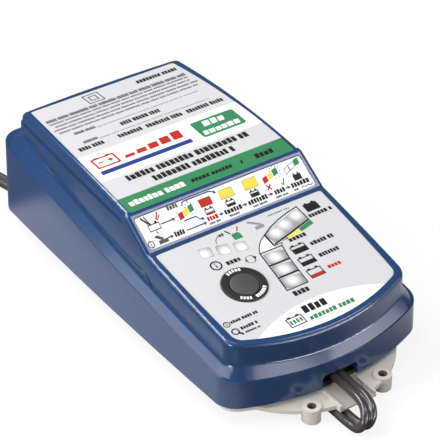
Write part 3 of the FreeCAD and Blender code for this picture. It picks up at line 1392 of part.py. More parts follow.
def half_turn(x_from, radius, way, z):
    """One half turn; way is +1 when it runs round the far side, -1 round the near side."""
    x_to = x_from + 2 * radius * way
    centre = Vector(x_from + radius * way, y0, z)
    top = Vector(centre.x, y0 + radius * way, z)
    coil_edges.append(Part.Arc(Vector(x_from, y0, z), top, Vector(x_to, y0, z)).toShape())
    return x_to


for r in inward:
    x = half_turn(x, r, heading, coil_z1)
    heading = -heading
steps = 16
climb = []
for k in range(steps + 1):
    t = k / steps
    angle = math.pi * t
    rise = (coil_z2 - coil_z1) * t * t * (3 - 2 * t)
    climb.append(Vector(x + heading * ri - heading * ri * math.cos(angle),
                        y0 + heading * ri * math.sin(angle),
                        coil_z1 + rise))
curve = Part.BSplineCurve()
marks = [math.pi * ri * k / steps for k in range(steps + 1)]
curve.interpolate(Points=climb, Parameters=marks, InitialTangent=Vector(0, heading, 0),
                  FinalTangent=Vector(0, -heading, 0), Scale=False)
coil_edges.append(curve.toShape())
x = climb[-1].x
heading = -heading
for r in outward:
    x = half_turn(x, r, heading, coil_z2)
    heading = -heading
end_x = x
coil_edges.append(Part.LineSegment(Vector(end_x, y0, coil_z2),
                                   Vector(end_x, y0 + straight, coil_z2)).toShape())
coil_path = Part.Wire(coil_edges)
lead_coil = swept("LeadCoil", coil_path)

# Tail down to the plug, the plug, and the tie round the coil's far side
tail_y = y0 + straight
plug_z = size["plug_thickness"] / 2
plug_y = tail_y + size["tail_length"]
tail_points = [(end_x, tail_y, coil_z2), (end_x, tail_y + 17.6, coil_z2), (end_x, plug_y - 7.0, plug_z),
               (end_x, plug_y, plug_z)]
tail_path, tail_radii = rounded_path(tail_points)
print("tail bends (radius, turn):", tail_radii)
lead_tail = swept("LeadTail", tail_path)
plug_block = box("PlugBlock", "Dims.plug_width", "Dims.plug_length", "Dims.plug_thickness",
                 str(end_x) + " - Dims.plug_width / 2", str(plug_y))
plug_round = round_part("PlugRounded", plug_block, "plug_corner",
                        lambda m, e: abs(e.tangentAt(e.FirstParameter).y) > 0.9)
collar_place = Placement(Vector(end_x - size["contact_pitch"] / 2, plug_y + size["plug_length"], plug_z),
                         Rotation(Vector(1, 0, 0), -90))
collar = rod("PlugCollar", "Dims.socket_collar_radius", "Dims.contact_length + 1", collar_place)
ribs = []
for k in range(3):
    ribs.append(box("PlugGrip%d" % k, "Dims.plug_width - 6", "1.4", "1.6",
                    str(end_x) + " - Dims.plug_width / 2 + 3",
                    str(plug_y + 9.0 + 4.0 * k), "Dims.plug_thickness - 0.6"))
plug_holes = []
contacts = []
for sx in (-1, 1):
    tag = "L" if sx < 0 else "R"
    spot = Placement(Vector(end_x + sx * size["contact_pitch"] / 2, plug_y + size["plug_length"] - 8.0,
                            plug_z),
                     Rotation(Vector(1, 0, 0), -90))
    plug_holes.append(rod("PlugHole" + tag, "Dims.contact_radius + 0.02", "Dims.contact_length + 12", spot))
    contacts.append(rod("PlugPin" + tag, "Dims.contact_radius", "8" if sx < 0 else "Dims.contact_length + 8",
                        spot))
plug = cut("LeadPlug", fuse("PlugBody", [plug_round, collar] + ribs), fuse("PlugHoles", plug_holes))
plug_contacts = group("PlugContacts", contacts)
tie_x = start_x + ri + 2 * pitch
tie_in = ri - hw - 0.7
tie_out = ri + 2 * pitch + hw + 0.3
tie_low = coil_z1 - ht - size["tie_gap"]
tie_high = coil_z2 + ht + size["tie_gap"]
tie_inner = box("TieInner", "Dims.tie_width + 4", str(tie_out - tie_in), str(tie_high - tie_low),
                str(tie_x) + " - Dims.tie_width / 2 - 2", str(y0 + tie_in), str(tie_low))
tie_outer = box("TieOuter", "Dims.tie_width", str(tie_out - tie_in) + " + 2 * Dims.tie_thickness",
                str(tie_high - tie_low) + " + 2 * Dims.tie_thickness", str(tie_x) + " - Dims.tie_width / 2",
                str(y0 + tie_in) + " - Dims.tie_thickness", str(tie_low) + " - Dims.tie_thickness")
tie_round = round_part("TieRounded", tie_outer, "tie_corner",
                       lambda m, e: abs(e.tangentAt(e.FirstParameter).x) > 0.9)
coil_tie = cut("CoilTie", tie_round, tie_inner)
doc.recompute()

# Least gap of the coil to itself, measured on points a tenth of a turn and more apart
samples = coil_path.discretize(Number=1200)
step = coil_path.Length / 1199
least = 1000.0
for a in range(0, len(samples), 3):
    for b in range(a + int(120 / step), len(samples), 3):
        dx = math.hypot(samples[a].x - samples[b].x, samples[a].y - samples[b].y)
        dz = abs(samples[a].z - samples[b].z)
        aside = max(dx - size["lead_width"], 0.0)
        above = max(dz - size["lead_thickness"], 0.0)
        clear = max(aside, above) if min(aside, above) == 0 else math.hypot(aside, above)
        if clear < least:
            least = clear
print("least gap of the coil to itself", round(least, 2))
total = lead_path.Length + coil_path.Length + tail_path.Length
print("lead from clamp to plug", round(total - 10, 0))

nodes = {
    "top_shell": shell, "base_plate": base_final, "case_screws": group("CaseScrews", case_screws),
    "perimeter_seal": seal, "label_upper": sheets["LabelUpper"], "label_flow": sheets["LabelFlow"],
    "label_control": control_label, "lens_row": lens_solids["Row"], "lens_fan": lens_solids["Fan"],
    "lens_column": lens_solids["Column"], "button_bezel": bezel, "button_cap": cap, "switch_plunger": plunger,
    "tact_switch": switch, "control_board": control_board,
    "control_screws": group("ControlScrews", control_screw_parts),
    "indicator_leds": group("IndicatorLeds", leds), "board_link": link, "main_board": main_board,
    "board_screws": group("BoardScrews", board_screws), "transformer_core": core, "transformer_coil": winding,
    "line_choke": choke, "bulk_capacitor": bulk, "output_capacitors": output_group, "heat_sink": sink,
    "power_devices": device_group, "mains_fuse": mains_fuse, "film_capacitor": film, "cable_clamp": clamp,
    "clamp_screws": group("ClampScrews", clamp_screws), "mains_inlet": gland, "dc_lead": dc_lead,
    "lead_coil": lead_coil, "lead_tail": lead_tail, "coil_tie": coil_tie, "lead_plug": plug,
    "plug_contacts": plug_contacts,
}
doc.recompute()
faults = []
for obj in doc.Objects:
    if any(word in obj.State for word in ("Invalid", "Error")):
        faults.append(obj.Name + " " + str(obj.State))
for name, obj in nodes.items():
    obj.Label = name
    if obj.Shape.isNull() or not obj.Shape.isValid():
        faults.append(name + " has a bad shape")
        continue
    if not obj.Shape.Solids:
        faults.append(name + " has no solid")
if faults:
    raise SystemExit("not written: " + "; ".join(faults))
for name, obj in nodes.items():
    obj.Shape.exportStep("parts/" + name + ".step")
    bb = obj.Shape.BoundBox
    print("%-18s solids %2d faces %3d volume %8.0f  x %7.2f %7.2f y %7.2f %7.2f z %6.2f %6.2f" % (
        name, len(obj.Shape.Solids), len(obj.Shape.Faces), obj.Shape.Volume, bb.XMin, bb.XMax, bb.YMin,
        bb.YMax,
        bb.ZMin, bb.ZMax))
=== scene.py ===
# %% [markdown]
# A car battery charger, dressed for a studio picture.
#
# The construction comes ready made as solids, in metres and in one frame. This file gives each solid its
# finish, remakes the soft-edged mouldings with smooth shading, prints the three films, and lays the flat twin
# lead as one long cord. Each step has a short note before it.

# %% Load the frame
import math
import random

import bmesh
import bpy
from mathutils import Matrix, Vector
from mathutils.bvhtree import BVHTree
from mathutils.geometry import tessellate_polygon


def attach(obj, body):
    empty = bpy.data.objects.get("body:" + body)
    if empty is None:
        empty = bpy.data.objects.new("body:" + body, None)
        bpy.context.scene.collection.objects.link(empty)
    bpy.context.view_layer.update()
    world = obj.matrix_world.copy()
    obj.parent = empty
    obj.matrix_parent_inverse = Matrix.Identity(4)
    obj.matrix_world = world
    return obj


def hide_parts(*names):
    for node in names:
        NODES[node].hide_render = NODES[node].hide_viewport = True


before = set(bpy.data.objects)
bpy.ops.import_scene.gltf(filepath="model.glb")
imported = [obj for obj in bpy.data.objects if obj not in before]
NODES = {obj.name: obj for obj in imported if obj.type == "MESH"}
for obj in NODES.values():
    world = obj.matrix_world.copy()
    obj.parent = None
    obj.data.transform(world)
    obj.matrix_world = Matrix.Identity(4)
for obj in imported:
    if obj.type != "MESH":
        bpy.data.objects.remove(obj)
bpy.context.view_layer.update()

MM = 0.001

# %% [markdown]
# ## A small language for shaders
# A shader network is arithmetic drawn as boxes. It could be wired box by box, but then the sums drown in
# links. A class that wraps a socket and overloads the operators lets arithmetic be written as arithmetic, and
# one method adds every other kind of node. The same graph class later builds the floor, the world and a tree
# of Geometry Nodes.

# %% Shader arithmetic


class Value:
    """A number that varies over a surface. Operators add Math nodes."""

    def __init__(self, graph, socket):
        self.graph = graph
        self.socket = socket

    def math(self, operation, *others):
        return self.graph.math(operation, self, *others)

    def __add__(self, other):
        return self.math("ADD", other)

    def __sub__(self, other):
        return self.math("SUBTRACT", other)

    def __rsub__(self, other):
        return self.graph.math("SUBTRACT", other, self)

    def __mul__(self, other):
        return self.math("MULTIPLY", other)

    def __truediv__(self, other):
        return self.math("DIVIDE", other)

    __radd__ = __add__
    __rmul__ = __mul__

    def below(self, edge):
        """1 where the value is less than the edge, and 0 elsewhere."""
        return self.math("LESS_THAN", edge)

    def clamp(self):
        return self.math("MAXIMUM", 0.0).math("MINIMUM", 1.0)

    def fade(self, dark, bright):
        """0 up to the dark end, 1 from the bright end on, with a soft change between."""
        node = self.graph.node("ShaderNodeMapRange", {"interpolation_type": "SMOOTHSTEP"},
                               {"Value": self, "From Min": dark, "From Max": bright})
        return Value(self.graph, node.outputs[0])


class Graph:
    """A node tree under construction, with the one method that adds nodes to it."""

    def __init__(self, tree):
        self.tree = tree

    def plug(self, socket, value):
        """Link what varies to a socket, and set what doesn't on it."""
        if isinstance(value, Value):
            value = value.socket
        if isinstance(value, bpy.types.NodeSocket):
            self.tree.links.new(value, socket)
        elif isinstance(value, (tuple, list)) and socket.type == "RGBA":
            socket.default_value = (*value[:3], 1.0)
        else:
            socket.default_value = value

    def node(self, kind, settings=None, sockets=None):
        node = self.tree.nodes.new(kind)
        for key, value in (settings or {}).items():
            setattr(node, key, value)
        for key, value in (sockets or {}).items():
            self.plug(node.inputs[key], value)
        return node

    def math(self, operation, *terms):
        node = self.node("ShaderNodeMath", {"operation": operation}, dict(enumerate(terms)))
        return Value(self, node.outputs[0])

    def place(self):
        return self.node("ShaderNodeTexCoord").outputs["Object"]

    def axes(self):
        split = self.node("ShaderNodeSeparateXYZ", None, {0: self.place()})
        return [Value(self, out) for out in split.outputs]


class Finish(Graph):
    """A material under construction: a Principled shader and the nodes that feed it."""

    def __init__(self, name, **settings):
        self.material = bpy.data.materials.new(name)
        self.material.use_nodes = True
        super().__init__(self.material.node_tree)
        self.shader = self.tree.nodes["Principled BSDF"]
        self.set(**settings)

    def set(self, **settings):
        """Set or link the Principled shader's sockets: base_color=..., coat_weight=..."""
        special = {"ior": "IOR", "specular_level": "Specular IOR Level"}
        for key, value in settings.items():
            self.plug(self.shader.inputs[special.get(key, key.replace("_", " ").title())], value)

    def noise(self, scale, detail=2.0, rough=0.5):
        node = self.node("ShaderNodeTexNoise", None, {"Vector": self.place(), "Scale": scale, "Detail": detail,
                                                      "Roughness": rough})
        return Value(self, node.outputs[0])

    def blend(self, factor, first, second):
        node = self.node("ShaderNodeMix", {"data_type": "RGBA"}, {0: factor, 6: first, 7: second})
        return node.outputs[2]

    def bump(self, height, strength, distance):
        node = self.node("ShaderNodeBump", None, {"Strength": strength, "Distance": distance, "Height": height})
        return node.outputs[0]


def shade(colour, factor):
    """The colour made lighter or darker, worked out in Python."""
    return tuple(min(1.0, c * factor) for c in colour)


def distance(x, y, middle_x, middle_y):
    """How far each point lies from a middle, seen from above."""
    aside, ahead = x - middle_x, y - middle_y
    return (aside * aside + ahead * ahead).math("SQRT")


print("shader helpers ready")

# %% [markdown]
# ## Finishes
# Most pieces are moulded plastic. Real moulded plastic is never one flat colour: the surface carries a fine
# spark-eroded grain, the gloss wanders a little, and the tone drifts over a few centimetres. Pictures of
# plastic could give this, but they need unwrapping and their pattern returns. One function makes all three
# from noise on Object coordinates, so the grain has its real size on every piece. The base also has painted
# shade: a darker colour inside the screw holes of its ears, where a real one lies in shade and holds dust.

# %% Moulded and metal finishes


def moulded(name, colour, roughness, grain=2600.0, depth=0.25, drift=0.06, wander=0.08, tint=None, **settings):
    """Plastic with a grain of 1 / grain metres, drifting in tone and gloss; tint may change it by place."""
    finish = Finish(name, **settings)
    fine = finish.noise(grain, 2.0, 0.6)
    broad = finish.noise(28.0, 3.0, 0.55)
    tone = finish.blend(broad, shade(colour, 1 - drift), shade(colour, 1 + drift))
    finish.set(base_color=tint(finish, tone) if tint else tone,
               roughness=(roughness - wander / 2 + broad * wander * 0.6 + fine * wander * 0.4).clamp(),
               normal=finish.bump(fine, depth, 0.00004))
    return finish.material


EAR_X, EAR_Y, EAR_BORE = 21.4 * MM, 119.4 * MM, 2.35 * MM


def painted_bore_shade(finish, tone):
    """The tone outside the four ears' screw holes, and painted shade inside them: a dark colour for the shade,
    with some dust.
    """
    x, y, _ = finish.axes()
    away = distance(x.math("ABSOLUTE"), y.math("ABSOLUTE"), EAR_X, EAR_Y)
    # Painted shade: inside each screw hole the colour turns dark brown, as the bore lies in shade.
    return finish.blend(away.below(EAR_BORE), tone, (0.21, 0.165, 0.14))


def metal(name, colour, roughness, drift=0.1):
    """Plated or bare metal: the gloss is streaked and the tone almost even."""
    finish = Finish(name, metallic=1.0)
    streak = finish.noise(900.0, 3.0, 0.65)
    broad = finish.noise(60.0, 2.0)
    finish.set(base_color=finish.blend(broad, shade(colour, 1 - drift), colour),
               roughness=(roughness - 0.06 + streak * 0.14).clamp(), normal=finish.bump(streak, 0.12, 0.00003))
    return finish.material


blue_shell = moulded("Blue moulded shell", (0.0135, 0.049, 0.146), 0.22, grain=3200.0, depth=0.08, drift=0.05,
                     coat_weight=0.5, coat_roughness=0.10)
# The base carries painted shade in the screw holes of its ears.
grey_base = moulded("Warm grey base", (0.74, 0.70, 0.62), 0.48, grain=2200.0, depth=0.35, drift=0.04,
                    tint=painted_bore_shade)
black_plastic = moulded("Black plastic", (0.014, 0.014, 0.015), 0.46, depth=0.3)
dark_plastic = moulded("Dark grey button", (0.066, 0.064, 0.063), 0.36, grain=3000.0, depth=0.3)
rubber = moulded("Seal rubber", (0.009, 0.009, 0.010), 0.68, depth=0.4)
zinc = metal("Zinc plated steel", (0.60, 0.60, 0.61), 0.34)
aluminium = metal("Bare extruded aluminium", (0.74, 0.75, 0.76), 0.30)
nickel = metal("Nickel plated brass", (0.66, 0.61, 0.47), 0.22)
print("plastics and metals:", len(bpy.data.materials))

# %% [markdown]
# The parts on the boards have finishes of their own: solder mask with tracks under it, sintered ferrite,
# wrapped tape, heat-shrunk sleeves and fired ceramic. They are out of sight in the picture, but a reader who
# lifts the shell off should find them right. Tracks and turns of wire could be modelled, at thousands of faces
# each; a brick texture and a wave texture are enough for pieces seen only then.

# %% Finishes of the electronics


def solder_mask():
    """Green lacquer over copper tracks: the tracks show as slightly lighter, raised lines."""
    finish = Finish("Green circuit board", coat_weight=0.2)
    tracks = finish.node("ShaderNodeTexBrick", {"offset": 0.5}, {
        "Vector": finish.place(), "Scale": 160.0, "Mortar Size": 0.035,
        "Color1": (0, 0, 0), "Color2": (0, 0, 0), "Mortar": (1, 1, 1)})
    line = Value(finish, tracks.outputs["Fac"])
    finish.set(base_color=finish.blend(line, (0.012, 0.10, 0.035), (0.03, 0.19, 0.07)),
               roughness=0.38 - line * 0.1, normal=finish.bump(line, 0.4, 0.00004))
    return finish.material


def wrapped(name, colour, turns, depth=0.5):
    """Tape or wire laid side by side along Z."""
    finish = Finish(name)
    waves = finish.node("ShaderNodeTexWave", {"bands_direction": "Z"},
                        {"Vector": finish.place(), "Scale": turns})
    ridge = Value(finish, waves.outputs["Fac"])
    finish.set(base_color=finish.blend(ridge, shade(colour, 0.72), colour), roughness=0.5 - ridge * 0.15,
               normal=finish.bump(ridge, depth, 0.0001))
    return finish.material


def clear_plastic():
    """The lights' clear bodies, a little cloudy."""
    finish = Finish("Clear light", transmission_weight=0.6, ior=1.45)
    cloud = finish.noise(700.0)
    finish.set(base_color=finish.blend(cloud, (0.86, 0.90, 0.86), (0.94, 0.96, 0.94)),
               roughness=0.12 + cloud * 0.08)
    return finish.material


board_green = solder_mask()
ferrite = moulded("Sintered ferrite", (0.055, 0.055, 0.060), 0.62, grain=1500.0, depth=0.6, drift=0.15)
tape = wrapped("Yellow winding tape", (0.72, 0.55, 0.10), 90.0)
copper = wrapped("Enamelled copper wire", (0.62, 0.24, 0.09), 260.0, 0.9)
sleeve = moulded("Capacitor sleeve", (0.03, 0.035, 0.05), 0.34, grain=900.0, drift=0.1)
ceramic = moulded("Fired ceramic", (0.80, 0.78, 0.72), 0.5, grain=1800.0)
film_yellow = moulded("Capacitor box", (0.60, 0.46, 0.08), 0.42, grain=1700.0)
clear_light = clear_plastic()
print("finishes in all:", len(bpy.data.materials))

# %% [markdown]
# ## Camera and studio
# The camera looks from the front left and above, through a long lens, so the box hardly converges. It could
# be placed by eye, but a small error would then shift every edge. Its place and its lens were worked out from
# the edges and corners of the case instead, for a sensor 36 mm wide.

# %% Camera


def add_object(name, data):
    """An object in the scene, at the origin."""
    obj = bpy.data.objects.new(name, data)
    bpy.context.scene.collection.objects.link(obj)
    return obj


EYE = Vector((-0.4986, -0.7337, 0.6607))
HEADING = math.radians(-34.63)
TILT = math.radians(90 - 35.04)
camera_data = bpy.data.cameras.new("Camera")
camera_data.sensor_fit = "HORIZONTAL"
camera_data.sensor_width = 36.0
camera_data.lens = 174.0
camera_data.clip_end = 20.0
camera = add_object("Camera", camera_data)
camera.location = EYE
camera.rotation_euler = (TILT, 0.0, HEADING)
bpy.context.scene.camera = camera
bpy.context.scene.view_settings.view_transform = "Standard"
print("camera", round(EYE.length, 3), "m from the middle of the floor under the charger")

# %% [markdown]
# The floor of a catalogue picture is a white sweep. A really white floor would wash the blue walls out, so
# this one tells the rays apart. The camera sees mostly a glow a little over white, with enough of the matt
# floor left in it for the shadow. Gloss sees dark floor with paler cards beside the charger, as a
# photographer would lay them. All other rays see a mid grey that darkens in front, so that little light
# bounces up to the front wall. The world is likewise darker to gloss.

# %% Floor and world
GLOW = 1.16
GLOW_SHARE = 0.72
FLOOR_GREY, FRONT_GREY = 0.50, 0.06
CARD_PALE, CARD_DARK = 0.60, 0.12
SKY, SKY_IN_GLOSS = 0.29, 0.10
SWEEP = 6.0


def studio_floor():
    """White to the camera but for the shadow, dark with paler cards to gloss, grey to all other rays."""
    material = bpy.data.materials.new("Studio floor")
    material.use_nodes = True
    graph = Graph(material.node_tree)
    graph.tree.nodes.clear()
    rays = graph.node("ShaderNodeLightPath").outputs
    seen = Value(graph, rays["Is Camera Ray"])
    x, y, _ = graph.axes()
    # Each edge in metres, from where it is dark to where it is bright.
    along = x.fade(-0.045, -0.062) * x.fade(-0.104, -0.082)
    left_card = along * (y.fade(-0.152, -0.112) * y.fade(0.126, 0.108))
    card = left_card.math("MAXIMUM", x.fade(0.015, 0.085))
    lit = seen.math("MAXIMUM", y.fade(-0.24, -0.04))
    level = graph.node("ShaderNodeMix", None, {
        0: rays["Is Glossy Ray"], 2: lit * (FLOOR_GREY - FRONT_GREY) + FRONT_GREY,
        3: card * (CARD_PALE - CARD_DARK) + CARD_DARK})
    matt = graph.node("ShaderNodeBsdfDiffuse", None, {"Color": level.outputs[0]})
    glow = graph.node("ShaderNodeEmission", None, {"Strength": GLOW})
    mix = graph.node("ShaderNodeMixShader", None,
                     {0: seen * GLOW_SHARE, 1: matt.outputs[0], 2: glow.outputs[0]})
    graph.node("ShaderNodeOutputMaterial", None, {0: mix.outputs[0]})
    return material


corners = [(-SWEEP, -SWEEP, 0), (SWEEP, -SWEEP, 0), (SWEEP, SWEEP, 0), (-SWEEP, SWEEP, 0)]
floor_mesh = bpy.data.meshes.new("Floor")
floor_mesh.from_pydata(corners, [], [(0, 1, 2, 3)])
floor_mesh.materials.append(studio_floor())
floor = add_object("Floor", floor_mesh)

world = bpy.data.worlds.new("World")
bpy.context.scene.world = world
world.use_nodes = True
air = Graph(world.node_tree)
background = air.tree.nodes["Background"]
air.plug(background.inputs["Color"], (1, 1, 1))
mirrored_sky = Value(air, air.node("ShaderNodeLightPath").outputs["Is Glossy Ray"])
air.plug(background.inputs["Strength"], SKY - mirrored_sky * (SKY - SKY_IN_GLOSS))
print("floor", 2 * SWEEP, "m wide")

# %% [markdown]
# Ten soft lights shape the gloss. The long one behind draws the pale line along the rounded edges and the
# rear rim, the ones on the left lift the long wall, and the narrow ones in front are there for the shine in
# the valley and on the ledge between the two tiers. A photographed studio round the scene could light it too,
# but separate lights can be moved one by one, kept out of the gloss, or made to work in it alone.

# %% Lamps
MIDDLE = (0, 0, 0.04)
FRONT = (0, -0.10, 0.03)
COOL = (0.98, 0.96, 1.0)


def softbox(name, place, aim, width, height, power, colour=(1, 1, 1), mirrored=True, matt=True):
    """A rectangle of light at a place; mirrored is its part in gloss, matt its part on matt surfaces."""
    lamp = bpy.data.lights.new(name, "AREA")
    lamp.shape = "RECTANGLE"
    lamp.size = width
    lamp.size_y = height
    lamp.energy = power
    lamp.color = colour
    obj = add_object(name, lamp)
    obj.location = place
    obj.rotation_euler = (Vector(aim) - Vector(place)).to_track_quat("-Z", "Y").to_euler()
    obj.visible_camera = False
    obj.visible_glossy = mirrored
    obj.visible_diffuse = matt


softbox("Long rear", (-0.36, 0.54, 1.03), MIDDLE, 1.15, 0.25, 11.6)
softbox("Overhead", (-0.05, 0.05, 1.35), MIDDLE, 0.45, 0.45, 1.5)
softbox("Right strip", (0.56, -0.30, 1.02), (0, -0.02, 0.05), 0.26, 0.4, 2.2, (1.0, 0.97, 1.0))
softbox("Long left", (-0.80, 0.05, 0.64), (-0.05, -0.04, 0.03), 1.15, 0.26, 2.8)
softbox("Left spot", (-0.85, -0.36, 0.40), (-0.05, -0.09, 0.03), 0.20, 0.20, 2.0)
softbox("Left fill", (-1.1, 0.25, 0.55), (0, 0, 0.03), 0.8, 0.6, 3.0, mirrored=False)
softbox("Front valley strip", (0.40, -0.98, 0.20), FRONT, 0.9, 0.07, 6.0, COOL, matt=False)
softbox("Front card", (0.22, -0.90, 0.56), FRONT, 0.6, 0.13, 1.2, COOL)
softbox("Front middle card", (0.60, -0.81, 0.46), FRONT, 0.36, 0.13, 0.75, COOL)
softbox("Front right card", (0.80, -0.62, 0.34), FRONT, 0.6, 0.13, 0.9, COOL)
print("lamps:", len(bpy.data.lights))

# %% [markdown]
# ## The mouldings
# The shell, the base and the small dark mouldings have soft edges all round. Their solids arrive as loose
# triangles, which is right for measuring and wrong for gloss: each facet would catch the light alone. They
# could be modelled again, but that makes a second shape to keep in step with the first. So a copy of each is
# merged, its true edges are kept sharp by angle, and the rest is shaded smooth with normals weighted by area,
# so that flats stay flat beside their fillets.

# %% Smooth copies of the solids
SHARP = math.radians(28.0)


def finished(name, mesh, material, body="housing"):
    """Put a mesh in the scene as a piece that rides on a body."""
    obj = add_object(name, mesh)
    mesh.materials.clear()
    mesh.materials.append(material)
    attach(obj, body)
    return obj


def settled(obj):
    """The plain mesh that an object shows once its modifiers have run. The object itself is dropped."""
    shown = bpy.context.evaluated_depsgraph_get()
    mesh = bpy.data.meshes.new_from_object(obj.evaluated_get(shown), depsgraph=shown)
    bpy.data.objects.remove(obj)
    return mesh


def moulding(node, name, material, body="housing"):
    """A merged, smoothly shaded copy of a node, which it replaces."""
    form = bmesh.new()
    form.from_mesh(NODES[node].data)
    bmesh.ops.remove_doubles(form, verts=form.verts, dist=2e-6)
    for layer in list(form.loops.layers.float_vector):
        form.loops.layers.float_vector.remove(layer)
    for face in form.faces:
        face.smooth = True
    mesh = bpy.data.meshes.new(name)
    form.to_mesh(mesh)
    form.free()
    for stray in [a for a in mesh.attributes if a.name == "custom_normal"]:
        mesh.attributes.remove(stray)
    mesh.set_sharp_from_angle(angle=SHARP)
    draft = add_object(name + "_draft", mesh)
    draft.modifiers.new("Weigh", "WEIGHTED_NORMAL").keep_sharp = True
    obj = finished(name, settled(draft), material, body)
    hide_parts(node)
    return obj


shell = moulding("top_shell", "shell", blue_shell)
base = moulding("base_plate", "base", grey_base)
ring = moulding("button_bezel", "button_ring", black_plastic)
cap = moulding("button_cap", "button", dark_plastic, body="button")
gland = moulding("mains_inlet", "inlet_gland", black_plastic)
clamp = moulding("cable_clamp", "lead_clamp", black_plastic)
for piece in (shell, base, ring, cap, gland, clamp):
    print(piece.name, len(piece.data.vertices), "points")

# %% [markdown]
# ## Everything that keeps its solid
# Screws, boards and the parts on them are small, flat or out of sight. Smooth copies of them would look no
# better, so they keep their solids and only get their finishes, one line for each finish.

# %% Finishes on the carried-over nodes


def dress(material, *names):
    for name in names:
        mesh = NODES[name].data
        mesh.materials.clear()
        mesh.materials.append(material)


dress(zinc, "case_screws", "control_screws", "board_screws", "clamp_screws")
dress(rubber, "perimeter_seal")
dress(board_green, "control_board", "main_board")
dress(black_plastic, "tact_switch", "power_devices", "board_link", "coil_tie")
dress(dark_plastic, "switch_plunger")
dress(clear_light, "indicator_leds")
dress(ferrite, "transformer_core")
dress(tape, "transformer_coil")
dress(copper, "line_choke")
dress(sleeve, "bulk_capacitor", "output_capacitors")
dress(aluminium, "heat_sink")
dress(ceramic, "mains_fuse")
dress(film_yellow, "film_capacitor")
dress(nickel, "plug_contacts")
print("dressed nodes:", sum(1 for node in NODES.values() if node.data.materials))

# %% [markdown]
# ## The flat twin lead
# The lead is one length of flat twin flex, about 1.6 m: out of the clamp, over the base's tongue, down in a
# tight loop that turns back under the base, along the floor, and into a flat coil of two layers behind the
# charger. It is drawn as one smooth spline, and its section, two round cores joined by a web, is swept along
# it. A curve's own bevel could sweep it too, but it lets a flat section roll where the lead turns. Here each
# point says which way the two cores lie.

# %% The route
LOW = 2.35
LAYER_ONE, LAYER_TWO = 3.15, 7.95
TURN_X, TURN_Y = -54.3, 326.0
INNER = 33.5
PITCH = 8.9
STEPS = 8
CLIMB = 4
CUT = 0.98088

route = [(0, -97.7, 11.8), (0, -118, 11.8), (-0.8, -135.0, 12.4), (-4.4, -142.4, 9.2), (-8.0, -142.2, 2.95),
         (-8.6, -133.5, LOW), (-8.4, -119, LOW), (-10, 25, LOW), (-41.0, 126, LOW), (TURN_X, 196, LAYER_ONE),
         (TURN_X, 314, LAYER_ONE)]


def half_turn(start, radius, way, low, high):
    """Points for half a circle of the coil, a little outside it, as the smooth line cuts inside its points."""
    spread = radius / CUT
    middle = start + radius * way
    for k in range(STEPS):
        t = (k + 0.5) / STEPS
        angle = math.pi * t
        route.append((middle - spread * way * math.cos(angle), TURN_Y + spread * way * math.sin(angle),
                      low + (high - low) * t * t * (3 - 2 * t)))
    return start + 2 * radius * way


side = TURN_X
for k, turn in enumerate((4, 3, 2, 1, 0, 1, 2, 3)):
    low = LAYER_ONE if k <= CLIMB else LAYER_TWO
    high = LAYER_ONE if k < CLIMB else LAYER_TWO
    side = half_turn(side, INNER + PITCH / 2 * turn, -1 if k % 2 else 1, low, high)
route += [(side, 334.4, LAYER_TWO), (side, 352.0, LAYER_TWO), (side, 371.0, 4.5), (side, 378.0, 4.5)]
print("route:", len(route), "points; the coil ends at x", side)

# %% The smooth line through the route
line = bpy.data.curves.new("Lead line", "CURVE")
line.dimensions = "3D"
line.resolution_u = 10
spline = line.splines.new("NURBS")
spline.points.add(len(route) - 1)
for point, (x, y, z) in zip(spline.points, route):
    point.co = (x * MM, y * MM, z * MM, 1.0)
spline.order_u = 3
spline.use_endpoint_u = True
path = [vertex.co.copy() for vertex in settled(add_object("Lead line", line)).vertices]
length = sum((b - a).length for a, b in zip(path, path[1:]))
print("lead", round(length, 3), "m in", len(path), "points")

# %% The section and the sweep
CORE = 2.15 * MM
APART = 2.05 * MM
WEB = 0.95 * MM
WAIST = 0.42 * MM
ROUND_STEPS = 6
ROUND = math.radians(156)
AT_CHARGER = 0.08
STEEP = 0.3


def twin_section():
    """The outline of two cores side by side with a soft groove between them."""
    arc = []
    for k in range(ROUND_STEPS + 1):
        angle = ROUND * (1 - k / ROUND_STEPS)
        arc.append((APART + CORE * math.cos(angle), CORE * math.sin(angle)))
    top = [(WAIST, WEB)] + [p for p in arc if p[0] > WAIST * 1.2]
    right = top + [(x, -y) for x, y in reversed(top[:-1])]
    return right + [(-x, y) for x, y in reversed(right)]


section = twin_section()


def across(k):
    """The way ahead, and the way the two cores lie: along X at the charger, and level in the coil."""
    ahead = (path[min(k + 1, len(path) - 1)] - path[max(k - 1, 0)]).normalized()
    share = k / len(path)
    flat = ahead.cross(Vector((0, 0, 1)))
    if share > AT_CHARGER and flat.length > STEEP:
        return ahead, flat.normalized()
    side_on = Vector((1, 0, 0)) - ahead * ahead.x
    return ahead, side_on.normalized()


tube = bmesh.new()
rings = []
for k, spot in enumerate(path):
    ahead, wide = across(k)
    high = wide.cross(ahead)
    rings.append([tube.verts.new(spot + wide * x + high * y) for x, y in section])
for low, top in zip(rings, rings[1:]):
    for k in range(len(section)):
        after = (k + 1) % len(section)
        tube.faces.new((low[k], low[after], top[after], top[k]))
tube.faces.new(rings[0][::-1])
tube.faces.new(rings[-1])
bmesh.ops.recalc_face_normals(tube, faces=tube.faces)
for face in tube.faces:
    face.smooth = len(face.verts) == 4
lead_mesh = bpy.data.meshes.new("twin_lead")
tube.to_mesh(lead_mesh)
tube.free()
print("lead mesh:", len(lead_mesh.polygons), "faces")

# %% Finish of the lead and its plug


def flex():
    """Glossy brown-grey PVC, dulled in patches and finely scuffed."""
    finish = Finish("Brown grey PVC", coat_roughness=0.08)
    smear = finish.noise(130.0, 3.0, 0.6)
    fine = finish.noise(2400.0, 2.0)
    finish.set(base_color=finish.blend(smear, (0.034, 0.029, 0.028), (0.084, 0.073, 0.070)),
               roughness=0.17 + smear * 0.14, coat_weight=0.75 - smear * 0.3,
               normal=finish.bump(fine, 0.15, 0.00004))
    return finish.material


lead = finished("twin_lead", lead_mesh, flex())
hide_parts("dc_lead", "lead_coil", "lead_tail")
plug = moulding("lead_plug", "plug", black_plastic)

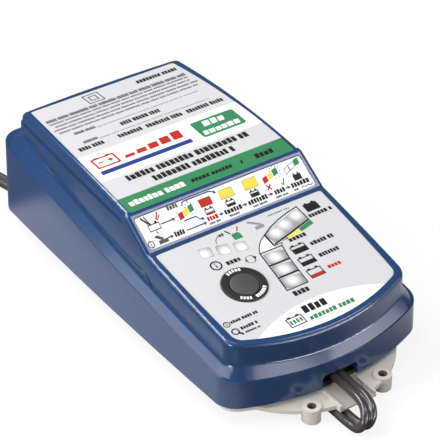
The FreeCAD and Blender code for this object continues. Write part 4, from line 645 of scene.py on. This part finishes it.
# %% [markdown]
# ## The printed films
# Three films are let into the shell, and their ground colours are printed in bands. A painted picture on
# unwrapped films could show them, but it blurs from near. A comparison on the Object coordinate puts each
# change of colour exactly in its place; the fine print follows as thin pads of ink.

# %% Grounds of the films
PALE = (0.575, 0.578, 0.59)
WHITE = (0.88, 0.88, 0.89)
GREEN = (0.034, 0.215, 0.085)


def film(name, ground):
    """A satin film; ground(finish, broad) gives its colour."""
    finish = Finish(name, coat_weight=0.12, coat_roughness=0.25)
    fine = finish.noise(1500.0, 2.0)
    broad = finish.noise(20.0)
    finish.set(base_color=ground(finish, broad), roughness=0.34 + broad * 0.08,
               normal=finish.bump(fine, 0.06, 0.00003))
    return finish.material


def pale(finish, broad):
    return finish.blend(broad, shade(PALE, 0.985), shade(PALE, 1.015))


def banded(finish, broad):
    """Pale at the rear, then a white, a pale and a green band towards the front."""
    _, y, _ = finish.axes()
    colour = finish.blend(y.below(44.8 * MM), pale(finish, broad), WHITE)
    colour = finish.blend(y.below(21.2 * MM), colour, PALE)
    return finish.blend(y.below(5.3 * MM), colour, GREEN)


def plain_white(finish, broad):
    return finish.blend(broad, shade(WHITE, 0.985), WHITE)


def with_white_foot(finish, broad):
    """Pale ground with a white field swelling up from the front edge."""
    x, y, _ = finish.axes()
    reach = distance(x, y, 0.5 * MM, -171.1 * MM)
    return finish.blend(reach.below(82.6 * MM), pale(finish, broad), WHITE)


dress(film("Upper film", banded), "label_upper")
dress(film("Flow film", plain_white), "label_flow")
dress(film("Control film", with_white_foot), "label_control")
print("films printed")

# %% [markdown]
# The windows are frosted blocks with a small light under each. The middle of each window is painted
# whiter than its rim, a painted glow: scattering inside the block would show this by itself, but slowly and
# with speckles, so the distance to the nearest light drives the colour.

# %% Frosted windows
PAINTED_GLOW_REACH = 5.2 * MM


def frosted(name, spots):
    """A frosted block with a painted glow, whitest above each of the spots in millimetres."""
    finish = Finish(name, coat_weight=0.15)
    x, y, _ = finish.axes()
    nearest, *others = [distance(x, y, spot_x * MM, spot_y * MM) for spot_x, spot_y in spots]
    for away in others:
        nearest = nearest.math("MINIMUM", away)
    # Painted glow: whiter near the nearest light, darker grey towards the rim.
    glow = (1.0 - nearest / PAINTED_GLOW_REACH).clamp()
    grain = finish.noise(1800.0, 2.0)
    finish.set(base_color=finish.blend(glow, (0.30, 0.305, 0.32), (0.92, 0.92, 0.92)),
               roughness=0.30 + grain * 0.1, normal=finish.bump(grain, 0.15, 0.00004))
    return finish.material


for node, spots in (("lens_row", [(-28, -39), (-17.5, -42), (-9, -43.5)]),
                    ("lens_fan", [(12, -43), (19, -40), (28, -37.5)]),
                    ("lens_column", [(1.5, -57), (0.5, -65.8), (-0.2, -74)])):
    dress(frosted("Frosted " + node, spots), node)
print("windows frosted")

# %% [markdown]
# ## Ink
# Screen-printed ink stands a few hundredths of a millimetre proud. It could be part of the film's colour, but
# then it has no edge of its own to catch the light. So each mark is a closed pad whose top follows the film: a
# ray dropped on the film gives the height of every corner. Marks are drawn from a few strokes: bars, lines
# with mitred corners, rings, arrows, a battery, and rows of blocks for lines of print.

# %% Ink on a surface
INK = 0.06 * MM
ABOVE, NEAR_TOP = 0.2, 0.06
skins = {}


def height_on(node, x, y):
    """The height of a node's top at a place in millimetres, or of its nearest point just past its edge."""
    if node not in skins:
        mesh = NODES[node].data
        skins[node] = BVHTree.FromPolygons([v.co for v in mesh.vertices], [p.vertices for p in mesh.polygons])
    hit = skins[node].ray_cast(Vector((x * MM, y * MM, ABOVE)), Vector((0, 0, -1)))[0]
    if hit is None:
        hit = skins[node].find_nearest(Vector((x * MM, y * MM, NEAR_TOP)))[0]
    return hit.z


def printed(name, shapes, node, material, rise=INK):
    """Closed pads of ink on a node, one for each list of corners."""
    form = bmesh.new()
    for shape in shapes:
        flat = [Vector((x, y, 0)) for x, y in shape]
        levels = [height_on(node, x, y) for x, y in shape]
        top = [form.verts.new((x * MM, y * MM, z + rise)) for (x, y), z in zip(shape, levels)]
        low = [form.verts.new((x * MM, y * MM, z - rise)) for (x, y), z in zip(shape, levels)]
        for a, b, c in tessellate_polygon([flat]):
            form.faces.new((top[a], top[b], top[c]))
            form.faces.new((low[c], low[b], low[a]))
        for k in range(len(shape)):
            after = (k + 1) % len(shape)
            form.faces.new((top[k], low[k], low[after], top[after]))
    bmesh.ops.recalc_face_normals(form, faces=form.faces)
    mesh = bpy.data.meshes.new(name)
    form.to_mesh(mesh)
    form.free()
    print(name, len(shapes), "marks")
    finished(name, mesh, material)


print("ink stands", round(INK / MM, 2), "mm proud")

# %% Strokes, signs and rows


def bar(x0, x1, y0, y1, lean=0.0):
    return [(x0, y0), (x1, y0), (x1 + lean, y1), (x0 + lean, y1)]


def stroke(points, width, closed=False):
    """A line of even width with mitred corners, as one four-cornered shape for each run."""
    spots = [Vector(p) for p in points]
    count = len(spots)
    edges = []
    for k, spot in enumerate(spots):
        before = spots[k - 1] if closed or k else None
        after = spots[(k + 1) % count] if closed or k < count - 1 else None
        into = (spot - before).normalized() if before else (after - spot).normalized()
        out = (after - spot).normalized() if after else into
        normal = Vector((-(into + out).y, (into + out).x)).normalized()
        reach = width / 2 / max(0.3, normal.dot(Vector((-into.y, into.x))))
        edges.append((tuple(spot + normal * reach), tuple(spot - normal * reach)))
    shapes = []
    for k in range(count if closed else count - 1):
        (a, b), (c, d) = edges[k], edges[(k + 1) % count]
        shapes.append([a, b, d, c])
    return shapes


def arc_points(x, y, radius, start, end, count):
    angles = [math.radians(start + (end - start) * k / count) for k in range(count + 1)]
    return [(x + radius * math.cos(angle), y + radius * math.sin(angle)) for angle in angles]


def disc(x, y, radius, count=24):
    return arc_points(x, y, radius, 0.0, 360.0, count)[:-1]


def hoop(x, y, radius, width):
    return stroke(disc(x, y, radius, 32), width, closed=True)


def arrow(points, width=0.55, head=1.5):
    """A line that ends in a solid head."""
    tip, before = Vector(points[-1]), Vector(points[-2])
    ahead = (tip - before).normalized()
    aside = Vector((-ahead.y, ahead.x))
    neck = tip - ahead * head
    shapes = stroke([*points[:-1], tuple(neck)], width)
    return shapes + [[tuple(tip), tuple(neck + aside * head * 0.62), tuple(neck - aside * head * 0.62)]]


def battery(x0, x1, y0, y1, level, width):
    """Case and terminals, filled up to a level."""
    step = (x1 - x0) * 0.22
    near, far = step * 0.55, step * 1.45
    edge = width * 0.5
    shapes = stroke([(x0, y0), (x1, y0), (x1, y1), (x0, y1)], width, closed=True)
    shapes += [bar(x0 + near, x0 + far, y1, y1 + 1.0), bar(x1 - far, x1 - near, y1, y1 + 1.0)]
    if level:
        shapes += [bar(x0 + edge, x1 - edge, y0 + edge, y0 + edge + (y1 - y0 - 2 * edge) * level)]
    return shapes


def row(x0, x1, y, tall, wide, seed, lean=0.0, gap=0.22):
    """A line of print without letters: blocks as wide as letters, with spaces between the words."""
    chance = random.Random(seed)
    shapes, x, left = [], x0, chance.randint(4, 8)
    while x + wide * 0.7 < x1:
        step = wide * chance.uniform(0.7, 1.05)
        rise = tall * chance.choice((1.0, 1.0, 0.86, 0.94))
        shapes.append(bar(x, min(x + step, x1), y - tall / 2, y - tall / 2 + rise, lean))
        x += step + wide * gap
        left -= 1
        if left == 0:
            x += wide * 0.6
            left = chance.randint(4, 9)
    return shapes


print("a row of print:", len(row(0, 20, 0, 2, 1, 0)), "blocks in 20 mm")

# %% Inks


def ink(name, colour):
    """Ink with a slightly uneven body."""
    finish = Finish(name)
    body = finish.noise(1200.0, 2.0)
    finish.set(base_color=finish.blend(body, shade(colour, 0.9), shade(colour, 1.08)),
               roughness=0.42 + body * 0.12, specular_level=0.25)
    return finish.material


black_ink = ink("Black ink", (0.012, 0.012, 0.013))
grey_ink = ink("Grey ink", (0.085, 0.085, 0.09))
soft_ink = ink("Soft grey ink", (0.24, 0.24, 0.25))
navy_ink = ink("Navy ink", (0.018, 0.040, 0.22))
red_ink = ink("Red ink", (0.44, 0.022, 0.012))
yellow_ink = ink("Yellow ink", (0.88, 0.66, 0.07))
ochre_ink = ink("Ochre ink", (0.42, 0.33, 0.08))
green_ink = ink("Green ink", GREEN)
white_ink = ink("White ink", WHITE)
print("inks mixed:", sum(1 for material in bpy.data.materials if material.name.endswith(" ink")))

# %% [markdown]
# ### Upper film
# The rear ground carries the ratings in rows of fine print, the white band a plain battery mark, a blue rule
# and a green badge, and the two bands in front bold rows.

# %% Upper film
fine_rows = [*row(-43.5, 43.0, 83.6, 2.7, 1.15, 3), *row(-37.5, -25.0, 65.6, 2.3, 1.1, 4),
             *row(-38.0, -29.5, 56.0, 2.2, 1.1, 5)]
for k, (left, right) in enumerate(((-43.5, 43.0), (-42.0, 42.0), (-44.5, 44.5), (-43.5, 42.5))):
    fine_rows += row(left, right, 80.2 - 3.3 * k, 1.35, 0.95, 10 + k, gap=0.3)
printed("print_upper_fine", fine_rows, "label_upper", grey_ink)
printed("print_upper_rules", [*row(-24.0, 38.5, 64.6, 0.9, 0.9, 20, gap=0.5),
                              *row(-28.5, 39.5, 55.0, 0.9, 0.9, 21, gap=0.5)], "label_upper", soft_ink)
dark_rows = [*row(16.8, 42.0, 91.4, 3.2, 1.7, 30, 0.5), *row(-12.8, 11.0, 60.2, 3.2, 1.6, 31),
             *row(-43.5, -27.0, 51.0, 3.2, 1.6, 32), *row(-20.0, -4.5, 50.9, 3.2, 1.6, 33),
             *row(-3.0, 20.0, 50.8, 3.2, 1.6, 34), *row(22.0, 45.5, 50.6, 3.2, 1.6, 35),
             *row(-36.5, 37.5, 17.3, 4.3, 2.5, 36), *row(-25.0, 24.5, 10.6, 4.3, 2.5, 37)]
dark_rows += stroke([(-14.6, 86.9), (-5.6, 86.9), (-5.6, 95.6), (-14.6, 95.6)], 0.6, closed=True)
dark_rows += stroke([(-12.2, 89.2), (-8.0, 89.2), (-8.0, 93.3), (-12.2, 93.3)], 0.6, closed=True)
printed("print_upper_dark", dark_rows, "label_upper", black_ink)

# %% White and green bands
sign = [bar(-41.6, -38.8, 35.3, 36.3), bar(-35.8, -33.0, 35.3, 36.3), bar(-34.9, -33.9, 34.4, 37.2)]
steps = [bar(-27.5 + 7.4 * k, -21.8 + 7.4 * k, 32.2, 34.6 + 1.1 * k, 0.9) for k in range(5)]
printed("print_battery_mark", [*battery(-43.5, -31.0, 31.8, 39.6, 0, 1.1), *sign, *steps],
        "label_upper", red_ink)
printed("print_blue_rule", [bar(-45.0, 9.5, 25.9, 29.0, 0.4)], "label_upper", navy_ink)


def rounded(x0, x1, y0, y1, radius):
    """A bar with rounded corners."""
    corners = ((x1 - radius, y0 + radius, 270), (x1 - radius, y1 - radius, 0), (x0 + radius, y1 - radius, 90),
               (x0 + radius, y0 + radius, 180))
    return [p for x, y, start in corners for p in arc_points(x, y, radius, start, start + 90, 5)]


printed("print_badge", [rounded(16.3, 43.0, 25.8, 40.2, 1.6)], "label_upper", green_ink)
printed("print_badge_rows", [*row(22.0, 38.0, 36.3, 4.4, 4.4, 40, 0.8),
                             *row(18.0, 41.0, 29.2, 3.6, 3.3, 41, 0.6)],
        "label_upper", white_ink, rise=1.8 * INK)
printed("print_green_white", row(-46.5, -14.0, -0.7, 3.6, 2.5, 50), "label_upper", white_ink)
printed("print_green_dark", [*row(-10.0, 15.0, -0.8, 2.4, 1.9, 51, 0.5),
                             *row(20.0, 22.5, -0.8, 2.6, 1.6, 52, 0.5),
                             *row(29.0, 42.0, -0.8, 3.4, 2.4, 53, 0.5)], "label_upper", black_ink)

# %% [markdown]
# ### Flow film
# The strip on the slope tells the order of work in pictures: clips on a battery, a test shown by three
# lights, then one panel for each stage, joined by arrows.

# %% Flow film: lights and panels


def slanted(x0, x1, y0, y1, climb, lean=0.25):
    """A panel whose foot and head climb to the right."""
    return [(x0, y0), (x1, y0 + climb), (x1 + lean, y1 + climb), (x0 + lean, y1)]


def rays(x, y, start, step, count, inner, outer):
    """Short strokes round a lit panel, between two ovals given by their half width and half height."""
    shapes = []
    for k in range(count):
        angle = math.radians(start + step * k)
        ends = [(x + wide * math.cos(angle), y + high * math.sin(angle)) for wide, high in (inner, outer)]
        shapes += stroke(ends, 0.4)
    return shapes


red_marks = [slanted(-27.8, -24.9, -17.9, -14.9, 0.5), bar(-14.2, -7.0, -16.2, -12.4, 0.1),
             slanted(24.0, 27.1, -16.5, -13.8, 0.7), *row(-14.4, -8.0, -21.7, 2.0, 1.5, 60),
             *stroke([(24.0, -19.6), (26.8, -17.4)], 0.7), *stroke([(24.3, -17.3), (26.4, -19.8)], 0.7),
             bar(-13.3, -8.7, -19.7, -19.0), *stroke([(-37.2, -10.7), (-39.4, -13.7)], 0.7),
             *stroke([(-36.6, -12.0), (-38.9, -14.2)], 0.55)]
red_marks += rays(-26.5, -16.6, 115, 42, 5, (2.3, 2.2), (3.0, 2.9))
printed("print_flow_red", red_marks, "label_flow", red_ink)
yellow_marks = [slanted(-24.6, -21.4, -17.2, -14.2, 0.7), bar(-2.0, 6.0, -16.0, -12.0, 0.3),
                bar(12.5, 20.6, -16.0, -11.6, 0.5), slanted(27.5, 30.6, -15.6, -13.0, 0.7)]
printed("print_flow_yellow", yellow_marks, "label_flow", yellow_ink)
printed("print_flow_ochre", [*stroke(yellow_marks[1], 0.3, True), *stroke(yellow_marks[2], 0.3, True)],
        "label_flow", ochre_ink)
green_marks = [slanted(-21.1, -18.2, -16.3, -13.2, 0.6), slanted(31.0, 34.2, -14.8, -11.9, 0.7),
               slanted(44.8, 48.0, -14.0, -11.2, 0.6),
               *stroke([(32.6, -18.8), (33.6, -19.7), (35.3, -17.0)], 0.6)]
for x, y in ((-19.6, -14.5), (32.7, -13.1)):
    green_marks += rays(x, y, -100, 32, 9, (2.5, 2.4), (3.2, 3.0))
printed("print_flow_green", green_marks, "label_flow", green_ink)

# %% Flow film: batteries, clips and rows
dark = battery(-45.2, -39.0, -17.8, -15.0, 0, 0.42)
for x0, x1, level in ((-13.4, -8.5, 0), (-0.8, 4.0, 0.5), (14.0, 18.7, 0.75), (40.7, 45.0, 1.0)):
    dark += battery(x0, x1, -19.9, -17.6, level, 0.42)
dark += stroke([(-46.9, -10.8), (-44.4, -14.2)], 0.9) + stroke([(-45.0, -10.6), (-43.9, -14.0)], 0.6)
dark += stroke([(38.0, -15.9), (41.0, -15.0), (41.0, -12.6), (38.0, -13.5)], 0.22, True)
dark += stroke([(41.3, -14.9), (44.4, -14.1), (44.4, -11.6), (41.3, -12.5)], 0.22, True)
dark += [*row(-34.6, -28.0, -22.6, 2.3, 1.4, 61, 0.3), *row(-4.0, 6.2, -21.7, 2.1, 1.6, 62),
         *row(10.4, 22.0, -21.7, 2.1, 1.6, 63), *row(26.6, 32.8, -21.6, 2.1, 1.6, 64),
         *row(37.2, 49.2, -21.6, 2.1, 1.6, 65)]
dark += stroke([(42.0, -24.0), (43.2, -23.4), (44.6, -24.1), (46.0, -23.5), (47.4, -24.2), (49.2, -23.6)], 0.35)
dark += hoop(-48.3, -22.9, 1.5, 0.45) + [bar(-48.5, -48.1, -23.8, -22.6), disc(-48.3, -22.1, 0.28, 10)]
printed("print_flow_dark", dark, "label_flow", black_ink)
printed("print_flow_grey", [*row(-31.4, -25.4, -11.0, 1.9, 1.5, 66), bar(-44.2, -38.8, -24.3, -22.6, 0.4),
                            [(-45.2, -20.6), (-43.4, -20.0), (-40.2, -22.2), (-42.0, -22.7)]],
        "label_flow", grey_ink)
navy = [*arrow([(-38.3, -16.2), (-29.9, -16.2)]), *arrow([(-38.4, -22.8), (-35.2, -22.8)]),
        *arrow([(-27.4, -22.8), (-15.4, -22.8)]), *arrow([(-7.4, -21.7), (-4.8, -21.7)]),
        *arrow([(6.6, -21.7), (9.6, -21.7)]), *arrow([(22.6, -21.6), (25.7, -21.6)]),
        *arrow([(33.4, -21.6), (36.4, -21.6)]), *arrow([(-42.2, -19.9), (-42.2, -18.2)], 0.4, 0.9),
        *arrow([(-23.2, -12.3), (-22.4, -10.9), (-21.0, -10.5), (-6.4, -10.5), (-5.0, -10.9), (-2.7, -12.2)]),
        *stroke([(-19.5, -10.5), (-19.5, -11.6)], 0.5),
        *arrow([(-25.9, -18.6), (-19.2, -18.6), (-17.9, -20.3), (-15.4, -20.8)])]
navy += [*row(-14.4, -7.4, -23.9, 0.9, 0.8, 67), *row(-2.4, 4.6, -23.9, 0.9, 0.8, 68),
         *row(12.0, 20.4, -23.9, 0.9, 0.8, 69), *row(26.0, 34.0, -23.9, 0.9, 0.8, 70),
         *row(37.4, 40.6, -23.8, 0.9, 0.8, 71)]
printed("print_flow_navy", navy, "label_flow", navy_ink)
printed("print_flow_pale_red",
        stroke([(-13.4, -19.9), (-8.5, -19.9), (-8.5, -17.6), (-13.4, -17.6)], 0.2, True),
        "label_flow", red_ink)

# %% [markdown]
# ### Control film
# The button stands on the left, a column of three windows climbs into a fan of three more on the right, and
# each window has its battery and its row of print.

# %% Control film: outlines round the windows
outline = stroke([(-3.8, -51.7), (9.3, -52.0), (7.5, -60.3), (6.5, -68.8), (5.6, -78.6), (-6.9, -78.6),
                  (-5.7, -69.4), (-4.8, -60.8)], 0.62, closed=True)
outline += stroke([(-4.7, -60.9), (7.5, -61.1)], 1.05) + stroke([(-5.7, -69.7), (6.5, -69.8)], 1.05)
outline += stroke([(5.9, -49.9), (5.9, -41.9), (12.0, -38.6), (18.5, -36.0), (25.0, -34.1), (32.0, -32.7),
                   (32.3, -42.7)], 0.62)
outline += stroke([(6.6, -49.7), (19.5, -46.5), (32.4, -42.9)], 0.95)
outline += stroke([(5.7, -50.6), (5.7, -42.0)], 0.95)
outline += stroke([(5.9, -42.0), (2.0, -44.2), (-0.9, -47.0), (-2.9, -49.9), (-3.8, -51.7)], 0.5)
outline += stroke([(5.9, -50.4), (10.5, -50.4), (9.3, -52.0)], 0.4)
printed("print_window_lines", outline, "label_control", black_ink)
for name, corners, material in (
        ("window_ground", [(5.3, -42.8), (5.3, -51.3), (-3.2, -51.3), (-2.4, -49.8), (-0.5, -47.0),
                           (2.3, -44.5)], white_ink),
        ("wedge_orange", [(11.0, -49.5), (15.2, -48.4), (15.2, -49.5)], red_ink),
        ("wedge_yellow", [(15.4, -48.3), (23.6, -46.2), (23.6, -48.6), (15.4, -49.6)], yellow_ink),
        ("wedge_green", [(23.8, -46.1), (32.6, -43.6), (32.6, -46.6), (23.8, -48.5)], green_ink)):
    printed("print_" + name, [corners], "label_control", material)

# %% Control film: batteries and rows


def round_arrow(start, end, count, width):
    """A part of the sign beside the button: two arrows that chase each other round."""
    return stroke(arc_points(-10.0, -52.6, 2.5, start, end, count), width)


dark = []
for x0, x1, y0, y1, level in ((35.3, 42.8, -38.6, -33.8, 1.0), (11.5, 19.6, -60.3, -55.4, 0.66),
                              (10.1, 18.2, -68.9, -63.9, 0.5), (9.1, 17.0, -77.6, -72.4, 0)):
    dark += battery(x0, x1, y0, y1, level, 0.55)
dark += [*row(-22.2, -14.4, -49.6, 2.5, 1.9, 91), *row(33.6, 48.2, -41.4, 2.3, 1.7, 80),
         *row(14.4, 24.6, -50.8, 2.4, 1.9, 81), *row(22.4, 36.6, -57.8, 2.5, 1.7, 82),
         *row(21.4, 34.2, -66.4, 2.5, 1.7, 83), *row(-5.5, 3.6, -82.0, 3.2, 2.0, 84),
         *row(-8.2, 7.2, -92.8, 4.6, 3.3, 85, 0.4), *row(-43.2, -27.2, -83.0, 1.7, 1.25, 86),
         *row(-41.0, -31.2, -88.4, 1.8, 1.3, 87), *row(-40.4, -31.4, -91.4, 1.1, 0.8, 88)]
dark += hoop(-27.5, -48.3, 2.75, 0.8) + [bar(-27.8, -27.2, -49.7, -47.8), disc(-27.5, -46.9, 0.42, 12)]
dark += hoop(-45.5, -83.2, 1.55, 0.5) + [bar(-45.7, -45.3, -84.0, -82.9), disc(-45.5, -82.4, 0.28, 10)]
dark += hoop(-44.4, -88.9, 1.75, 0.7) + stroke([(-43.2, -90.2), (-41.6, -92.0)], 1.1)
dark += round_arrow(-70, 70, 12, 0.45)
dark += [[(-8.0, -53.4), (-6.2, -52.2), (-8.2, -51.2)], *row(-14.6, -11.0, -31.7, 1.8, 1.4, 89)]
dark += stroke([(-10.2, -30.2), (-8.6, -33.2)], 0.8)
printed("print_control_dark", dark, "label_control", black_ink)
red = [bar(9.3, 16.8, -77.4, -75.6), *row(20.4, 28.2, -75.0, 2.3, 1.7, 90),
       [(-11.9, -53.5), (-13.6, -52.4), (-11.8, -51.5)], *stroke([(-2.6, -30.4), (-4.6, -33.0)], 0.7)]
red += round_arrow(120, 240, 10, 0.4)
printed("print_control_red", red, "label_control", red_ink)
printed("print_control_grey", [*round_arrow(75, 115, 6, 0.4), *round_arrow(245, 285, 6, 0.4),
                               [(2.6, -30.6), (4.2, -30.0), (9.4, -34.2), (8.0, -35.0)],
                               bar(4.4, 9.6, -37.0, -34.9, 0.4)], "label_control", soft_ink)
field = [bar(-8.9, -4.1, -38.0, -34.4), bar(-8.4, -4.6, -34.4, -33.7),
         *row(-8.2, 19.3, -98.8, 2.6, 2.1, 92, 0.4), *row(15.4, 29.0, -31.5, 0.9, 1.0, 93, gap=0.4),
         *stroke([(-18.6, -36.0), (-17.9, -34.0), (-16.4, -32.4), (-14.2, -31.4)], 0.45)]
field += [bar(-18.4 + 1.9 * k, -17.2 + 1.9 * k, -98.4, -95.8) for k in range(4)]
printed("print_control_green", field, "label_control", green_ink)
printed("print_control_case", battery(-19.2, -10.6, -99.8, -94.4, 0, 0.6), "label_control", black_ink)

# %% [markdown]
# ### Marks on the button's ring
# Pale blocks follow the ring round the button. They could be placed one by one like the rest of the print,
# but they repeat along a path, so a node tree sets them: an arc of points, a block on each with a width drawn
# from a fixed seed, the whole tilted to lie on the ring.

# %% The tree for blocks on an arc


def arc_tree():
    """Geometry Nodes that set blocks on an arc, each turned along it."""
    graph = Graph(bpy.data.node_groups.new("Blocks on an arc", "GeometryNodeTree"))
    face = graph.tree.interface
    for name, kind in (("Count", "Int"), ("Radius", "Float"), ("Start", "Float"), ("Sweep", "Float"),
                       ("Block", "Vector"), ("Centre", "Vector"), ("Tilt", "Vector"), ("Seed", "Int"),
                       ("Ink", "Material")):
        face.new_socket(name, in_out="INPUT", socket_type="NodeSocket" + kind)
    face.new_socket("Geometry", in_out="OUTPUT", socket_type="NodeSocketGeometry")
    given = graph.node("NodeGroupInput").outputs
    arc = graph.node("GeometryNodeCurveArc", None, {
        "Resolution": given["Count"], "Radius": given["Radius"], "Start Angle": given["Start"],
        "Sweep Angle": given["Sweep"]})
    tangent = graph.node("GeometryNodeInputTangent")
    along = graph.node("FunctionNodeAlignRotationToVector", {"axis": "X", "pivot_axis": "Z"},
                       {"Vector": tangent.outputs[0]})
    width = graph.node("FunctionNodeRandomValue", {"data_type": "FLOAT"},
                       {2: 0.82, 3: 1.06, "Seed": given["Seed"]})
    scale = graph.node("ShaderNodeCombineXYZ", None, {"X": width.outputs[1], "Y": 1.0, "Z": 1.0})
    block = graph.node("GeometryNodeMeshCube", None, {"Size": given["Block"]})
    blocks = graph.node("GeometryNodeInstanceOnPoints", None, {
        "Points": arc.outputs[0], "Instance": block.outputs[0], "Rotation": along.outputs[0],
        "Scale": scale.outputs[0]})
    laid = graph.node("GeometryNodeTransform", None, {
        "Geometry": blocks.outputs[0], "Translation": given["Centre"], "Rotation": given["Tilt"]})
    real = graph.node("GeometryNodeRealizeInstances", None, {"Geometry": laid.outputs[0]})
    inked = graph.node("GeometryNodeSetMaterial", None, {"Geometry": real.outputs[0], "Material": given["Ink"]})
    graph.node("NodeGroupOutput", None, {"Geometry": inked.outputs[0]})
    return graph.tree


RING_TREE = arc_tree()
print("arc tree:", len(RING_TREE.nodes), "nodes")

# %% Blocks on the ring
RING_X, RING_Y, MARK_RADIUS = -22.9, -65.6, 9.8
REAR, FORE = (height_on("button_bezel", RING_X, RING_Y + way * MARK_RADIUS) for way in (1, -1))
SLOPE = math.atan2(REAR - FORE, 2 * MARK_RADIUS * MM)


def ring_blocks(start, sweep, count, seed):
    """A mesh of blocks from one angle round the ring, in degrees."""
    draft = add_object("Ring draft", bpy.data.meshes.new("Ring draft"))
    modifier = draft.modifiers.new("Blocks", "NODES")
    modifier.node_group = RING_TREE
    pitch = math.radians(abs(sweep)) / (count - 1) * MARK_RADIUS
    wanted = {"Count": count, "Radius": MARK_RADIUS * MM, "Start": math.radians(start),
              "Sweep": math.radians(sweep), "Block": (pitch * 0.72 * MM, 1.8 * MM, 2 * INK),
              "Centre": (RING_X * MM, RING_Y * MM, (REAR + FORE) / 2), "Tilt": (SLOPE, 0.0, 0.0), "Seed": seed,
              "Ink": white_ink}
    for item in RING_TREE.interface.items_tree:
        if item.name in wanted:
            modifier[item.identifier] = wanted[item.name]
    return settled(draft)


marks = bmesh.new()
for start, sweep, count, seed in ((111.0, -40.0, 5, 1), (227.0, 27.0, 4, 2), (275.0, 45.0, 6, 3)):
    marks.from_mesh(ring_blocks(start, sweep, count, seed))
ring_mesh = bpy.data.meshes.new("print_ring_marks")
marks.to_mesh(ring_mesh)
marks.free()
finished("print_ring_marks", ring_mesh, white_ink)
print("ring blocks:", len(ring_mesh.polygons), "faces, sloped", round(math.degrees(SLOPE), 2), "degrees")
